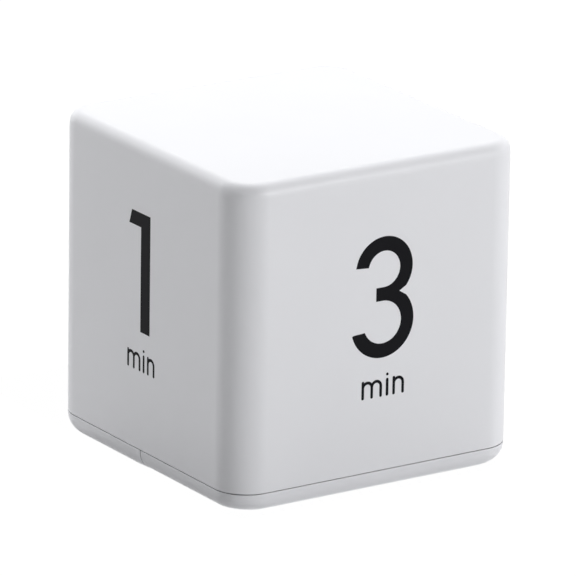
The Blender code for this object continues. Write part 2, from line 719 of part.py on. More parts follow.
def add_display_bay(cover):
    """Lens recess, window and the ribs that hold the liquid crystal display."""
    centre = (0, DISPLAY_Y)
    recess_z = (-OVERRUN, LENS_TOP + CLEARANCE)
    cut(cover, rounded_prism("guide_lens_recess", LENS_WIDTH + 2 * CLEARANCE,
                             LENS_LENGTH + 2 * CLEARANCE, LENS_CORNER_RADIUS + CLEARANCE,
                             recess_z, centre))
    window_z = (-OVERRUN, COVER_FLOOR + OVERRUN)
    cut(cover, rounded_prism("guide_window", LENS_WIDTH - 2 * LENS_SEAT,
                             LENS_LENGTH - 2 * LENS_SEAT, LENS_CORNER_RADIUS,
                             window_z, centre))
    rib_z = (COVER_FLOOR - ROOT, COVER_FLOOR + GLASS_RIB_HEIGHT)
    for name, side in (("left", -1), ("right", 1)):
        x = side * (GLASS_WIDTH / 2 + CLEARANCE + GLASS_RIB_WIDTH / 2)
        fuse(cover, block(f"guide_glass_rib_{name}", span(x, GLASS_RIB_WIDTH),
                          span(GLASS_Y, GLASS_LENGTH - 2 * GLASS_RIB_END), rib_z))
    front_rib = GLASS_WIDTH / 2 - 2 * GLASS_RIB_END
    fuse(cover, block("guide_glass_rib_front", (-front_rib, front_rib),
                      (-BAY_HALF - ROOT, GLASS_FRONT - CLEARANCE), rib_z))


def add_switch_bay(cover):
    """Finger pocket and slot of the slide switch, and the rib that guides its knob."""
    pocket_z = (-OVERRUN, SWITCH_POCKET_SUNK)
    cut(cover, rounded_prism("guide_switch_pocket", SWITCH_POCKET_WIDTH,
                             SWITCH_POCKET_LENGTH, SWITCH_POCKET_CORNER, pocket_z,
                             (SWITCH_X, SWITCH_Y)))
    cut(cover, block("guide_thumb_slot", span(SWITCH_X, THUMB_SLOT_WIDTH),
                     span(SWITCH_Y, THUMB_SLOT_LENGTH), (0, COVER_FLOOR + OVERRUN)))
    rib_z = (COVER_FLOOR - ROOT, COVER_FLOOR + KNOB_RIB_HEIGHT)
    fuse(cover, block("guide_knob_rib", span(SWITCH_X, KNOB_RIB_LENGTH),
                      (KNOB_RIB_FRONT, KNOB_FRONT - CLEARANCE), rib_z))


def spread(count, pitch):
    """Return places set evenly about zero."""
    return [(index - (count - 1) / 2) * pitch for index in range(count)]


def cut_sound_slots(cover):
    """Slots beside the slide switch that let the sound out."""
    for index, shift in enumerate(spread(SLOT_COUNT, SLOT_PITCH)):
        cut(cover, block(f"guide_sound_slot_{index}", span(SLOT_OFFSET, SLOT_WIDTH),
                         span(SWITCH_Y + shift, SLOT_LENGTH),
                         (-OVERRUN, COVER_FLOOR + OVERRUN)))


def cut_contact_slots(cover):
    """Slots in the cell box for the solder tabs of the two end contacts."""
    half = CONTACT_TAB_WIDTH / 2 + CLEARANCE
    back = CONTACT_FACE + CONTACT_THICKNESS + CLEARANCE / 2
    front = CONTACT_FACE - CLEARANCE
    for name, y in (("front", FRONT_CELL_Y), ("rear", REAR_CELL_Y)):
        cut(cover, block(f"guide_tab_slot_{name}", (-back, -front), (y - half, y + half),
                         (CELL_Z, CELL_BOX_TOP + OVERRUN)))


def cut_side_channels(cover):
    """Channels beside the cell box, open to the rear, that the door's tabs run in."""
    channel_z = (TAB_FOOT - CLEARANCE, PARTING_Z)
    outer = HALF_WIDTH + OVERRUN
    inner = TAB_TIP - CLEARANCE
    for name, x_ends in (("left", (-outer, -inner)), ("right", (inner, outer))):
        cut(cover, block(f"guide_channel_{name}", x_ends, (DOOR_FRONT, outer), channel_z))


def display_cover():
    """Front half of the display end with the cell box that the battery door hides."""
    cover = cover_block()
    cut(cover, door_space())
    cut(cover, cover_hollow())
    fuse(cover, cell_box())
    fuse(cover, sounder_ring())
    for name, side in (("left", -1), ("right", 1)):
        fuse(cover, catch_hook(f"guide_hook_{name}", side))
    add_screw_towers(cover)
    add_board_bosses(cover)
    add_display_bay(cover)
    add_switch_bay(cover)
    cut_sound_slots(cover)
    cut(cover, cell_channel("guide_front_cell", FRONT_CELL_Y))
    cut(cover, cell_channel("guide_rear_cell", REAR_CELL_Y))
    cut_contact_slots(cover)
    cut_side_channels(cover)
    return cover


def battery_door():
    """Rear half of the display end, with inward tabs and a ribbed thumb rest."""
    inside = list(reversed(edge_arc(BAND_HEIGHT - DOOR_WALL)))
    door = add_mesh("battery_door", case_skin(inside + edge_arc(BAND_HEIGHT)),
                    white_plastic())
    far = HALF_WIDTH + OVERRUN
    cut(door, block("guide_door_end", (-far, far), (-far, DOOR_FRONT),
                    (-OVERRUN, PARTING_Z)))
    outer = HALF_WIDTH - DOOR_WALL + ROOT
    for index in range(DOOR_TAB_COUNT):
        start = DOOR_FRONT + DOOR_TAB_START + index * DOOR_TAB_PITCH
        y_ends = (start, start + DOOR_TAB_LENGTH)
        for name, x_ends in (("left", (-outer, -TAB_TIP)), ("right", (TAB_TIP, outer))):
            fuse(door, block(f"guide_tab_{name}_{index}", x_ends, y_ends,
                             (TAB_FOOT, TAB_TOP)))
    add_thumb_rest(door)
    return door


def add_thumb_rest(door):
    """Sunk thumb rest with ridges, and an arrow that points the way the door slides."""
    cut(door, rounded_prism("guide_thumb_rest", GRIP_WIDTH, GRIP_LENGTH, OVERRUN,
                            (-OVERRUN, GRIP_SUNK), (0, GRIP_Y)))
    ridge_z = (GRIP_SUNK - GRIP_RIDGE_HEIGHT, GRIP_SUNK + ROOT)
    ridge_x = span(0, GRIP_WIDTH - 2 * GRIP_RIDGE_PITCH)
    for index, shift in enumerate(spread(GRIP_RIDGE_COUNT, GRIP_RIDGE_PITCH)):
        fuse(door, block(f"guide_ridge_{index}", ridge_x,
                         span(GRIP_Y + shift, GRIP_RIDGE_WIDTH), ridge_z))
    tip = ARROW_Y + ARROW_LENGTH
    arrow = [(-ARROW_WIDTH / 2, ARROW_Y), (ARROW_WIDTH / 2, ARROW_Y), (0, tip)]
    rings = [[(x, y, z) for x, y in arrow] for z in (-OVERRUN, ARROW_SUNK)]
    cut(door, add_mesh("guide_arrow", skin(rings), white_plastic()))


def display_lens():
    """Clear window plate, sunk a little under the display end."""
    return rounded_prism("display_lens", LENS_WIDTH, LENS_LENGTH, LENS_CORNER_RADIUS,
                         (LENS_SUNK, LENS_TOP), (0, DISPLAY_Y), clear_plastic())


def liquid_crystal_display():
    """Front and rear glass, and the strip that joins the glass to the board."""
    across = span(0, GLASS_WIDTH)
    front = block("lcd_front_glass", across, (GLASS_FRONT, GLASS_REAR),
                  (GLASS_Z, GLASS_TOP), display_glass())
    rear = block("lcd_rear_glass", across, (GLASS_FRONT, GLASS_REAR - GLASS_LEDGE),
                 (REAR_GLASS_Z, REAR_GLASS_Z + GLASS_THICKNESS), display_glass())
    zebra_y = GLASS_REAR - GLASS_LEDGE / 2
    zebra = block("zebra_strip", span(0, GLASS_WIDTH - 2 * ZEBRA_END),
                  span(zebra_y, ZEBRA_LENGTH),
                  (GLASS_TOP + CLEARANCE, BOARD_Z - CLEARANCE), contact_rubber())
    return [front, rear, zebra]


def circuit_board():
    """Board on four bosses, with a hole for each of its screws."""
    board = rounded_prism("circuit_board", BOARD_WIDTH, BOARD_LENGTH, BOARD_CORNER_RADIUS,
                          (BOARD_Z, BOARD_TOP), (0, BOARD_Y), board_laminate())
    hole_z = (BOARD_Z - OVERRUN, BOARD_TOP + OVERRUN)
    for name, place in board_boss_places():
        cut(board, disc(f"guide_board_hole_{name}", BOARD_SCREW_RADIUS + CLEARANCE, hole_z,
                        place, steps=HOLE_STEPS))
    return board


def screw(name, shank_radius, length, head_radius, head_height, place, seat, up):
    """Pan head screw; its head bears on the seat and its shank runs up or down."""
    edge = head_height / 2
    profile = [(shank_radius, -length), (shank_radius, 0), (head_radius, 0),
               (head_radius, edge), (head_radius - edge, head_height)]
    item = turned(name, profile, plated_steel(), steps=HOLE_STEPS)
    item.location = (*place, seat)
    item.rotation_euler = Euler((pi, 0, 0)) if up else Euler((0, 0, 0))
    return item


def case_screws():
    """Two screws that hold the cover to the housing, reached under the door."""
    made = []
    for name, place in case_screw_places():
        made.append(screw(f"case_screw_{name}", CASE_SCREW_RADIUS, CASE_SCREW_LENGTH,
                          CASE_SCREW_HEAD_RADIUS, CASE_SCREW_HEAD_HEIGHT, place,
                          SCREW_SEAT - CLEARANCE, True))
    return made


def board_screws():
    """Four screws that hold the board to its bosses."""
    made = []
    for name, place in board_boss_places():
        made.append(screw(f"board_screw_{name}", BOARD_SCREW_RADIUS, BOARD_SCREW_LENGTH,
                          BOARD_SCREW_HEAD_RADIUS, BOARD_SCREW_HEAD_HEIGHT, place,
                          ON_BOARD, False))
    return made


def on_board_y(share):
    """Return the place along Y at a share of the board's length from its rear edge."""
    return BOARD_REAR - share * BOARD_LENGTH


def control_chip():
    """Epoxy drop over the control chip."""
    rings = []
    radius = CHIP_RADIUS_SHARE * BOARD_LENGTH
    for angle in quarter_angles(EDGE_STEPS)[:-1]:
        rings.append((radius * cos(angle), ON_BOARD + CHIP_HEIGHT * sin(angle)))
    return turned("control_chip", rings, black_plastic(), (0, on_board_y(CHIP_SHARE)))


def timing_crystal():
    """Small can that lies on the board."""
    y = on_board_y(CRYSTAL_SHARE)
    z = ON_BOARD + CRYSTAL_RADIUS
    half = CRYSTAL_LENGTH / 2
    return add_mesh("timing_crystal", rod((-half, y, z), (half, y, z), CRYSTAL_RADIUS),
                    plated_steel())


def filter_capacitor():
    """Upright capacitor with a rounded top edge."""
    edge = CAPACITOR_RADIUS / EDGE_STEPS
    top = ON_BOARD + CAPACITOR_HEIGHT
    profile = [(CAPACITOR_RADIUS, ON_BOARD), (CAPACITOR_RADIUS, top - edge),
               (CAPACITOR_RADIUS - edge, top)]
    place = (-CAPACITOR_OFFSET, on_board_y(CAPACITOR_SHARE))
    return turned("filter_capacitor", profile, black_plastic(), place)


def chip_resistors():
    """Row of small resistors between the tilt switch and the sounder leads."""
    made = []
    for index in range(RESISTOR_COUNT):
        x = RESISTOR_OFFSET + index * RESISTOR_PITCH
        y = on_board_y(RESISTOR_SHARE)
        made.append(block(f"chip_resistor_{index + 1}", span(x, RESISTOR_WIDTH),
                          span(y, RESISTOR_LENGTH), (ON_BOARD, ON_BOARD + RESISTOR_HEIGHT),
                          black_plastic()))
    return made


def slide_switch_frame():
    """Metal frame under the board, open to it, with a slot for the slider's stem."""
    half_x, half_y = FRAME_WIDTH / 2, FRAME_LENGTH / 2
    inner_x, inner_y = half_x - FRAME_WALL, half_y - FRAME_WALL
    centre = (SWITCH_X, SWITCH_Y)
    inner = [rounded_ring(inner_x, inner_y, FRAME_WALL, z, centre, 1)
             for z in (FRAME_Z + FRAME_WALL, FRAME_TOP)]
    outer = [rounded_ring(half_x, half_y, FRAME_WALL * 2, z, centre, 1)
             for z in (FRAME_TOP, FRAME_Z)]
    frame = add_mesh("slide_switch_frame", skin(inner + outer), plated_steel())
    slot_x = span(SWITCH_X, STEM_WIDTH + SWITCH_TRAVEL + 2 * CLEARANCE)
    slot_y = span(SWITCH_Y, STEM_LENGTH + 2 * CLEARANCE)
    slot_z = (FRAME_Z - OVERRUN, FRAME_Z + FRAME_WALL + CLEARANCE)
    cut(frame, block("guide_stem_slot", slot_x, slot_y, slot_z))
    return frame


def slide_switch_base():
    """Insulating base between the frame and the board."""
    inset = FRAME_WALL + CLEARANCE
    return block("slide_switch_base", span(SWITCH_X, FRAME_WIDTH - 2 * inset),
                 span(SWITCH_Y, FRAME_LENGTH - 2 * inset),
                 (FRAME_TOP - SWITCH_BASE_THICKNESS, FRAME_TOP), black_plastic())


def slide_switch_slider():
    """Slider in the frame, with a stem that drives in the knob's socket."""
    inset = FRAME_WALL + CLEARANCE
    low = FRAME_Z + inset
    high = FRAME_TOP - SWITCH_BASE_THICKNESS - CLEARANCE
    slider = block("slide_switch_slider", span(SWITCH_REST_X, SLIDER_WIDTH),
                   span(SWITCH_Y, FRAME_LENGTH - 2 * inset), (low, high), black_plastic())
    fuse(slider, block("guide_stem", span(SWITCH_REST_X, STEM_WIDTH),
                       span(SWITCH_Y, STEM_LENGTH), (STEM_FOOT, low + CLEARANCE)))
    return slider


def switch_knob():
    """Knob: a guide plate on the floor and a grooved thumb piece in the slot."""
    knob = block("switch_knob", span(SWITCH_REST_X, KNOB_PLATE_WIDTH),
                 span(SWITCH_Y, KNOB_PLATE_LENGTH), (KNOB_Z, KNOB_TOP), black_plastic())
    fuse(knob, block("guide_thumb", span(SWITCH_REST_X, THUMB_WIDTH),
                     span(SWITCH_Y, THUMB_LENGTH), (THUMB_SUNK, KNOB_Z + CLEARANCE)))
    for index, shift in enumerate(spread(THUMB_GROOVE_COUNT, THUMB_GROOVE_PITCH)):
        cut(knob, block(f"guide_thumb_groove_{index}",
                        span(SWITCH_REST_X + shift, THUMB_GROOVE_WIDTH),
                        span(SWITCH_Y, KNOB_PLATE_LENGTH),
                        (-OVERRUN, THUMB_SUNK + THUMB_GROOVE_DEPTH)))
    socket_x = span(SWITCH_REST_X, STEM_WIDTH + 2 * CLEARANCE)
    socket_y = span(SWITCH_Y, STEM_LENGTH + 2 * CLEARANCE)
    cut(knob, block("guide_socket", socket_x, socket_y,
                    (STEM_FOOT - CLEARANCE, KNOB_TOP + OVERRUN)))
    return knob


def sounder():
    """Brass plate glued to its ring, with the ceramic disc on it."""
    place = (0, SOUNDER_Y)
    plate = disc("sounder_plate", SOUNDER_RADIUS, (SOUNDER_Z, SOUNDER_TOP), place, brass())
    element = disc("sounder_ceramic", CERAMIC_RADIUS, (CERAMIC_Z, CERAMIC_TOP), place,
                   ceramic())
    return [plate, element]


def tilt_switch(tag, foot, turn):
    """Tilted can with a base, two pins to the board and a loose ball inside.

    The parts are modelled along the can's own axis and hang on a tilted empty at
    its foot. The ball hangs on a second empty, on the same axis.
    """
    empty = add_empty(f"tilt_switch_{tag}_axis", foot, turn)
    bore = CAN_RADIUS - CAN_WALL
    cup = [(bore, CAN_LENGTH - CAN_WALL), (bore, 0), (CAN_RADIUS, 0),
           (CAN_RADIUS, CAN_LENGTH)]
    can = turned(f"tilt_can_{tag}", cup, plated_steel(), steps=HOLE_STEPS)
    base = disc(f"tilt_base_{tag}", bore - CLEARANCE, (-CAN_BASE_PROUD, CAN_BASE_TOP),
                finish=black_plastic(), steps=HOLE_STEPS)
    to_local = Euler(turn).to_matrix().inverted()
    down = to_local @ Vector((0, 0, -1))
    side = to_local @ (Euler(turn).to_matrix() @ Vector((0, 0, 1))).cross(
        Vector((0, 0, 1))).normalized()
    reach = foot[2] - ON_BOARD
    for index, shift in enumerate(spread(2, PIN_SPACING)):
        start = side * shift
        pin = add_mesh(f"guide_pin_{tag}_{index}", rod(start, start + down * reach,
                                                       PIN_RADIUS, EDGE_STEPS),
                       plated_steel())
        fuse(base, pin)
        hang_on(pin, empty, placed_by_empty=True)
    ball = tilt_ball(tag)
    for item in (can, base, ball):
        hang_on(item, empty, placed_by_empty=True)
    return empty


def tilt_ball(tag):
    """Ball at rest on the base of its can; its origin is its own middle."""
    bm = bmesh.new()
    bmesh.ops.create_uvsphere(bm, u_segments=HOLE_STEPS, v_segments=HOLE_STEPS // 2,
                              radius=BALL_RADIUS)
    ball = add_mesh(f"tilt_ball_{tag}", bm, plated_steel())
    ball.location = (0, 0, BALL_REST)
    return ball


def tilt_switches():
    """Two tilt switches, one leaning towards +X and one towards +Y."""
    foot_a = (-CAN_OFFSET, on_board_y(CAN_A_SHARE), CAN_FOOT_Z)
    foot_b = (CAN_OFFSET, on_board_y(CAN_B_SHARE), CAN_FOOT_Z)
    return [tilt_switch("a", foot_a, (0, CAN_TILT, 0)),
            tilt_switch("b", foot_b, (-CAN_TILT, 0, 0))]


def cell(name, y, negative_x, facing):
    """Round cell along X; facing is the side that its positive nub points to."""
    shoulder = CELL_LENGTH - NUB_LENGTH
    inner = CELL_RADIUS - CELL_EDGE_RADIUS
    crimp = inner - CELL_END_RIM
    profile = [(inner, 0), (CELL_RADIUS, CELL_EDGE_RADIUS),
               (CELL_RADIUS, shoulder - CELL_EDGE_RADIUS), (inner, shoulder),
               (crimp, shoulder), (crimp, shoulder - CELL_END_RECESS),
               (NUB_RADIUS, shoulder - CELL_END_RECESS), (NUB_RADIUS, CELL_LENGTH)]
    item = turned(name, profile, cell_wrap())
    item.location = (negative_x, y, CELL_Z)
    item.rotation_euler = Euler((0, facing * pi / 2, 0))
    return item


def cells():
    """Two cells side by side, turned opposite ways."""
    negative_x = CONTACT_FACE - 2 * CLEARANCE - SPRING_LENGTH
    return [cell("battery_front", FRONT_CELL_Y, negative_x, -1),
            cell("battery_rear", REAR_CELL_Y, -negative_x, 1)]


def end_contact(name, y):
    """Contact plate at the one minute end, with a solder tab through the cell box."""
    half, tab = CONTACT_HALF_WIDTH, CONTACT_TAB_WIDTH / 2
    outline = [(y - half, CONTACT_Z), (y + half, CONTACT_Z), (y + half, CONTACT_TOP),
               (y + tab, CONTACT_TOP), (y + tab, CONTACT_TAB_TOP),
               (y - tab, CONTACT_TAB_TOP), (y - tab, CONTACT_TOP), (y - half, CONTACT_TOP)]
    x_ends = (-CONTACT_FACE - CONTACT_THICKNESS, -CONTACT_FACE)
    return bar_along_x(name, outline, x_ends, plated_steel())


def bridge_contact():
    """Contact that joins the two cells at the five minute end."""
    half = CONTACT_HALF_WIDTH
    low, high = FRONT_CELL_Y - half, REAR_CELL_Y + half
    strip = CONTACT_Z + BRIDGE_HEIGHT
    outline = [(low, CONTACT_Z), (high, CONTACT_Z), (high, CONTACT_TOP),
               (REAR_CELL_Y - half, CONTACT_TOP), (REAR_CELL_Y - half, strip),
               (FRONT_CELL_Y + half, strip), (FRONT_CELL_Y + half, CONTACT_TOP),
               (low, CONTACT_TOP)]
    x_ends = (CONTACT_FACE, CONTACT_FACE + CONTACT_THICKNESS)
    return bar_along_x("bridge_contact", outline, x_ends, plated_steel())


def tube(name, points, radius, finish, resolution):
    """Add a round tube along points, with filled ends."""
    curve = bpy.data.curves.new(name, "CURVE")
    curve.dimensions = "3D"
    curve.fill_mode = "FULL"
    curve.bevel_depth = radius
    curve.bevel_resolution = resolution
    curve.use_fill_caps = True
    spline = curve.splines.new("POLY")
    spline.points.add(len(points) - 1)
    for target, point in zip(spline.points, points):
        target.co = (*point, 1)
    curve.materials.append(finish)
    item = bpy.data.objects.new(name, curve)
    bpy.context.scene.collection.objects.link(item)
    return item


def contact_spring(name, y, side):
    """Tapering spring on a contact plate, wound from the plate towards its cell."""
    steps = SPRING_TURNS * HELIX_STEPS
    plate_end = CONTACT_FACE - CLEARANCE - SPRING_WIRE / 2
    points = []
    for step in range(steps + 1):
        share = step / steps
        radius = SPRING_BASE_RADIUS + (SPRING_TIP_RADIUS - SPRING_BASE_RADIUS) * share
        angle = tau * step / HELIX_STEPS
        x = side * (plate_end - SPRING_PITCH * step / HELIX_STEPS)
        points.append((x, y + radius * cos(angle), CELL_Z + radius * sin(angle)))
    print_least_gap(name, points)
    return tube(name, points, SPRING_WIRE / 2, plated_steel(), 1)


def print_least_gap(name, points):
    """Measure the least gap of a winding to itself on its points, and print it."""
    places = [Vector(point) for point in points]
    apart = HELIX_STEPS // 2
    least = min((places[one] - places[other]).length
                for one in range(len(places))
                for other in range(one + apart + 1, len(places)))
    print(f"{name}: least gap to itself {least - SPRING_WIRE:.6f} m")


def smooth_route(route, step):
    """Return evenly spaced points on a smooth curve through a route's points."""
    places = [Vector(point) for point in route]
    padded = [2 * places[0] - places[1]] + places + [2 * places[-1] - places[-2]]
    fine = [places[0]]
    for index in range(len(places) - 1):
        before, start, end, after = padded[index:index + 4]
        for part in range(1, ROUND_STEPS + 1):
            fine.append(between(before, start, end, after, part / ROUND_STEPS))
    lengths = [0]
    for one, other in zip(fine, fine[1:]):
        lengths.append(lengths[-1] + (other - one).length)
    count = max(2, round(lengths[-1] / step))
    points = []
    for index in range(count + 1):
        wanted = lengths[-1] * index / count
        nearest = min(range(len(fine)), key=lambda place: abs(lengths[place] - wanted))
        points.append(fine[nearest])
    return points


def between(before, start, end, after, share):
    """Return a point on the smooth curve between two of a route's points."""
    slope_in = (end - before) / 2
    slope_out = (after - start) / 2
    square, cube = share ** 2, share ** 3
    return (start * (2 * cube - 3 * square + 1) + slope_in * (cube - 2 * square + share)
            + end * (3 * square - 2 * cube) + slope_out * (cube - square))


def lead(name, color, start, over, end_x):
    """Insulated lead from its start, over the cell box, down to the board.

    The values of over are (y, z) places between the start and the front of the box.
    Its x runs evenly from the start to end_x.
    """
    front = (CELL_BOX_FRONT - CELL_WALL, CELL_BOX_TOP - CELL_WALL)
    foot = ((BOARD_REAR + LEAD_END_Y) / 2, LEAD_END_Z + CELL_WALL)
    end = (LEAD_END_Y, LEAD_END_Z)
    run = start[1] - LEAD_END_Y
    route = [start]
    for y, z in [*over, front, foot, end]:
        route.append((start[0] + (end_x - start[0]) * (start[1] - y) / run, y, z))
    return tube(name, smooth_route(route, LEAD_STEP), LEAD_RADIUS,
                lead_insulation(name, color), 2)


def leads():
    """Two leads from the contacts and two from the sounder, soldered to the board."""
    tab_x = -(CONTACT_FACE - CLEARANCE - LEAD_RADIUS)
    crown = CELL_BOX_TOP + CLEARANCE + LEAD_RADIUS
    crest = crown + CLEARANCE
    over_front_cell = (FRONT_CELL_Y, crest)
    past_crown = (FRONT_CELL_Y - CELL_RADIUS / 2, crest)
    sounder_edge = (SOUNDER_Y - SOUNDER_RADIUS - CLEARANCE, SOUNDER_TOP + LEAD_RADIUS)
    red, black = (0.60, 0.04, 0.04), (0.03, 0.03, 0.03)
    on_ceramic = CERAMIC_TOP + CLEARANCE + LEAD_RADIUS
    on_plate = SOUNDER_TOP + CLEARANCE + LEAD_RADIUS
    across = (FRONT_CELL_Y, on_ceramic + LEAD_RADIUS)
    rim_x = (SOUNDER_RADIUS + CERAMIC_RADIUS) / 2
    return [
        lead("battery_lead_red", red, (tab_x, FRONT_CELL_Y, crown), [past_crown],
             -LEAD_RED_X),
        lead("battery_lead_black", black, (tab_x, REAR_CELL_Y, crown),
             [over_front_cell, past_crown], -LEAD_BLACK_X),
        lead("sounder_lead_red", red, (CERAMIC_RADIUS / 2, SOUNDER_Y, on_ceramic),
             [across, sounder_edge], SOUNDER_LEAD_OFFSET),
        lead("sounder_lead_black", black, (rim_x, SOUNDER_Y, on_plate),
             [across, sounder_edge], SOUNDER_LEAD_OFFSET + LEAD_PITCH),
    ]


def carry(items, empty):
    """Parent modelled objects to an empty, with their places as they are."""
    for item in items:
        item.parent = empty
        item.matrix_parent_inverse = Matrix.Translation(-empty.location)


def build():
    """Model the whole timer."""
    clear_scene()
    timer = add_empty("cube_timer", (0, 0, 0))
    fixed = [main_housing(), display_cover(), display_lens(), circuit_board(),
             control_chip(), timing_crystal(), filter_capacitor(), slide_switch_frame(),
             slide_switch_base(), end_contact("positive_contact", FRONT_CELL_Y),
             end_contact("negative_contact", REAR_CELL_Y), bridge_contact(),
             contact_spring("bridge_spring", FRONT_CELL_Y, 1),
             contact_spring("negative_spring", REAR_CELL_Y, -1)]
    fixed += liquid_crystal_display() + case_screws() + board_screws()
    fixed += chip_resistors() + sounder() + cells() + leads() + tilt_switches()
    carry(fixed, timer)
    door_slide = add_empty("door_slide_axis", (0, DOOR_FRONT, 0))
    hang_on(battery_door(), door_slide)
    switch_slide = add_empty("switch_slide_axis", (SWITCH_REST_X, SWITCH_Y, KNOB_Z))
    hang_on(switch_knob(), switch_slide)
    hang_on(slide_switch_slider(), switch_slide)
    carry([door_slide, switch_slide], timer)


build()
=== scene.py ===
"""Looks of the cube timer: fine forms, finishes, printed marks, light and camera.

Every size is in metres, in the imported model's frame: +Z points to the blank face, -X to
the one minute face, -Y to the three minute face, +X to the five minute face and +Y to the
ten minute face. A piece that replaces a solid keeps that solid's place and size.
"""

from math import acos, ceil, cos, pi, radians, sin, sqrt, tau

import bmesh
import bpy
from mathutils import Euler, Matrix, Vector
from mathutils.geometry import delaunay_2d_cdt


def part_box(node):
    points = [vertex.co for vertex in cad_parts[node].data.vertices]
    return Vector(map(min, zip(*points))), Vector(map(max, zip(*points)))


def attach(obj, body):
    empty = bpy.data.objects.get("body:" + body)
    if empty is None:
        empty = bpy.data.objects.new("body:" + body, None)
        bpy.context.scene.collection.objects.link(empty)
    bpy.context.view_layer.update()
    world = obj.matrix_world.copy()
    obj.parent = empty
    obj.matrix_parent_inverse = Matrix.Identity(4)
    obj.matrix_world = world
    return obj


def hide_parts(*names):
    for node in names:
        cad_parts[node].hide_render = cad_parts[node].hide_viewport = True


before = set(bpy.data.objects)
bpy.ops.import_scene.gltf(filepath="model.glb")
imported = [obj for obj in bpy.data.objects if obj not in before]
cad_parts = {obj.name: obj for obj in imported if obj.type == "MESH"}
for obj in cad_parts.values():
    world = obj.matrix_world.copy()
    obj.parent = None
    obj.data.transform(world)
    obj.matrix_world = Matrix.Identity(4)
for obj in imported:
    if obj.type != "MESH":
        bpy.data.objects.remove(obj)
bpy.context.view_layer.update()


def middle(node):
    """Return the middle of a node's box."""
    return [(one + other) / 2 for one, other in zip(*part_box(node))]


def lengths(node):
    """Return the lengths of a node's box along the three axes."""
    return [other - one for one, other in zip(*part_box(node))]


# Places read from the frame
HALF_WIDTH, _, CASE_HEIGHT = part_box("main_housing")[1]
DOOR_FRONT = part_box("battery_door")[0].y
BAND_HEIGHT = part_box("battery_door")[1].z
LENS_SIZE = lengths("display_lens")
LENS_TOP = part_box("display_lens")[1].z
GLASS_LOW, GLASS_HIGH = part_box("lcd_front_glass")
BOARD_LOW, BOARD_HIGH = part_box("circuit_board")
KNOB_LOW, KNOB_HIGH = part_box("switch_knob")
RING_LOW, RING_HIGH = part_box("sounder_plate")
TAB_LOW, TAB_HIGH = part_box("positive_contact")

# Gaps and joins, as in the solids
CLEARANCE = 0.0003
OVERRUN = 0.0010
ROOT = 0.0006
SMALLEST_RADIUS = 0.00003
MERGE_DISTANCE = SMALLEST_RADIUS / 100  # between points that a cut leaves double

# Housing
CORNER_RADIUS = 0.0070
TOP_EDGE_RADIUS = 0.0024
CASE_WALL = 0.0022
CEILING_FILLET = 0.0015
FACE_SETBACK = 0.00003       # the moulded faces stand this far back, under the ink
PARTING_Z = 0.00466          # lower rim of the housing
RIM_EDGE = 0.00014           # rounding of that rim
PARTING_EDGE = 0.00006       # rounding of the band's edge under it
PARTING_DEPTH = 0.0005       # how far in the band's rim falls away behind its edge
PARTING_FALL = 0.0004
CROWN_STEP = 0.00004         # fine ledge where the upper fillet meets a side face
CROWN_STEP_HEIGHT = 0.00032
POST_WIDTH = 0.0048

# Display end
BAND_CORNER_SHARE = 0.5      # how far the band's corners tighten as its edge rounds in
LIP_INSET = CASE_WALL + CLEARANCE
LIP_THICKNESS = 0.0012
LIP_HEIGHT = 0.0028
LIP_TOP = BAND_HEIGHT + LIP_HEIGHT
LIP_EDGE = 0.0002
COVER_FLOOR = 0.0020
COVER_RAISE = 0.0003         # the front half stands this far above the door's level
COVER_RIM = 0.00457
DOOR_RIM = 0.00458
CORNER_FALL = 0.00010        # how far the rim falls round the corners, of a full quarter
BAND_FULLNESS = 2.2          # 2 rounds the band's lower edge as a circle, more is fuller
RAMP_REAR = 0.0044           # between these places the door's level rises to the cover's
RAMP_FRONT = -0.0006
RAMP_STEPS = 10
SPLIT_GAP = 0.00030          # seen gap between the cover and the door
STEP_THICKNESS = 0.0016
RIM_HEIGHT = 0.0014          # rear rim round the cells, above the parting line
RIM_TOP = BAND_HEIGHT + CLEARANCE + RIM_HEIGHT
BAY_HALF = HALF_WIDTH - LIP_INSET - LIP_THICKNESS
SPLIT_Y = DOOR_FRONT - CLEARANCE
STEP_FRONT = SPLIT_Y - STEP_THICKNESS
SEEN_DOOR_FRONT = DOOR_FRONT - CLEARANCE / 2 + SPLIT_GAP / 2
SEEN_SPLIT_Y = SEEN_DOOR_FRONT - SPLIT_GAP
MOUTH_EDGE = 0.00014         # chamfer round every opening of the display end
HOOK_REACH = 0.0006
HOOK_WIDTH = 0.0060
HOOK_SPACING = 0.0300
HOOK_HEIGHT = 0.0015
HOOK_LIFT = 0.0009
HOOK_FOOT = BAND_HEIGHT + CLEARANCE + HOOK_LIFT

# Battery door
DOOR_WALL = 0.0018
DECK_Z = DOOR_WALL + CLEARANCE
DOOR_TAB_REACH = 0.00135
DOOR_TAB_SETDOWN = 0.0002    # from the door's rim down to a tab
DOOR_TAB_THICKNESS = 0.0008
TAB_TIP = HALF_WIDTH - DOOR_WALL - DOOR_TAB_REACH
DOOR_TAB_TOP = BAND_HEIGHT - DOOR_TAB_SETDOWN
DOOR_TAB_FOOT = DOOR_TAB_TOP - DOOR_TAB_THICKNESS
DOOR_TAB_LENGTH = 0.0050
DOOR_TAB_STARTS = (0.00205, 0.01055, 0.01905)
GRIP_WIDTH = 0.0180
GRIP_LENGTH = 0.0074
GRIP_SUNK = 0.0007
GRIP_EDGE = 0.0117           # from the rear face to the middle of the thumb rest
GRIP_Y = HALF_WIDTH - GRIP_EDGE
GRIP_RIDGE_WIDTH = 0.0007
GRIP_RIDGE_HEIGHT = 0.0005
GRIP_RIDGE_PITCH = 0.0015
GRIP_RIDGE_COUNT = 4
ARROW_WIDTH = 0.0056
ARROW_LENGTH = 0.0034
ARROW_SUNK = 0.0004
ARROW_FLARE = 1.4            # widening of the arrow's cutter below the face
ARROW_SPACING = 0.0080       # from the arrow's foot to the middle of the thumb rest
ARROW_Y = GRIP_Y - ARROW_SPACING

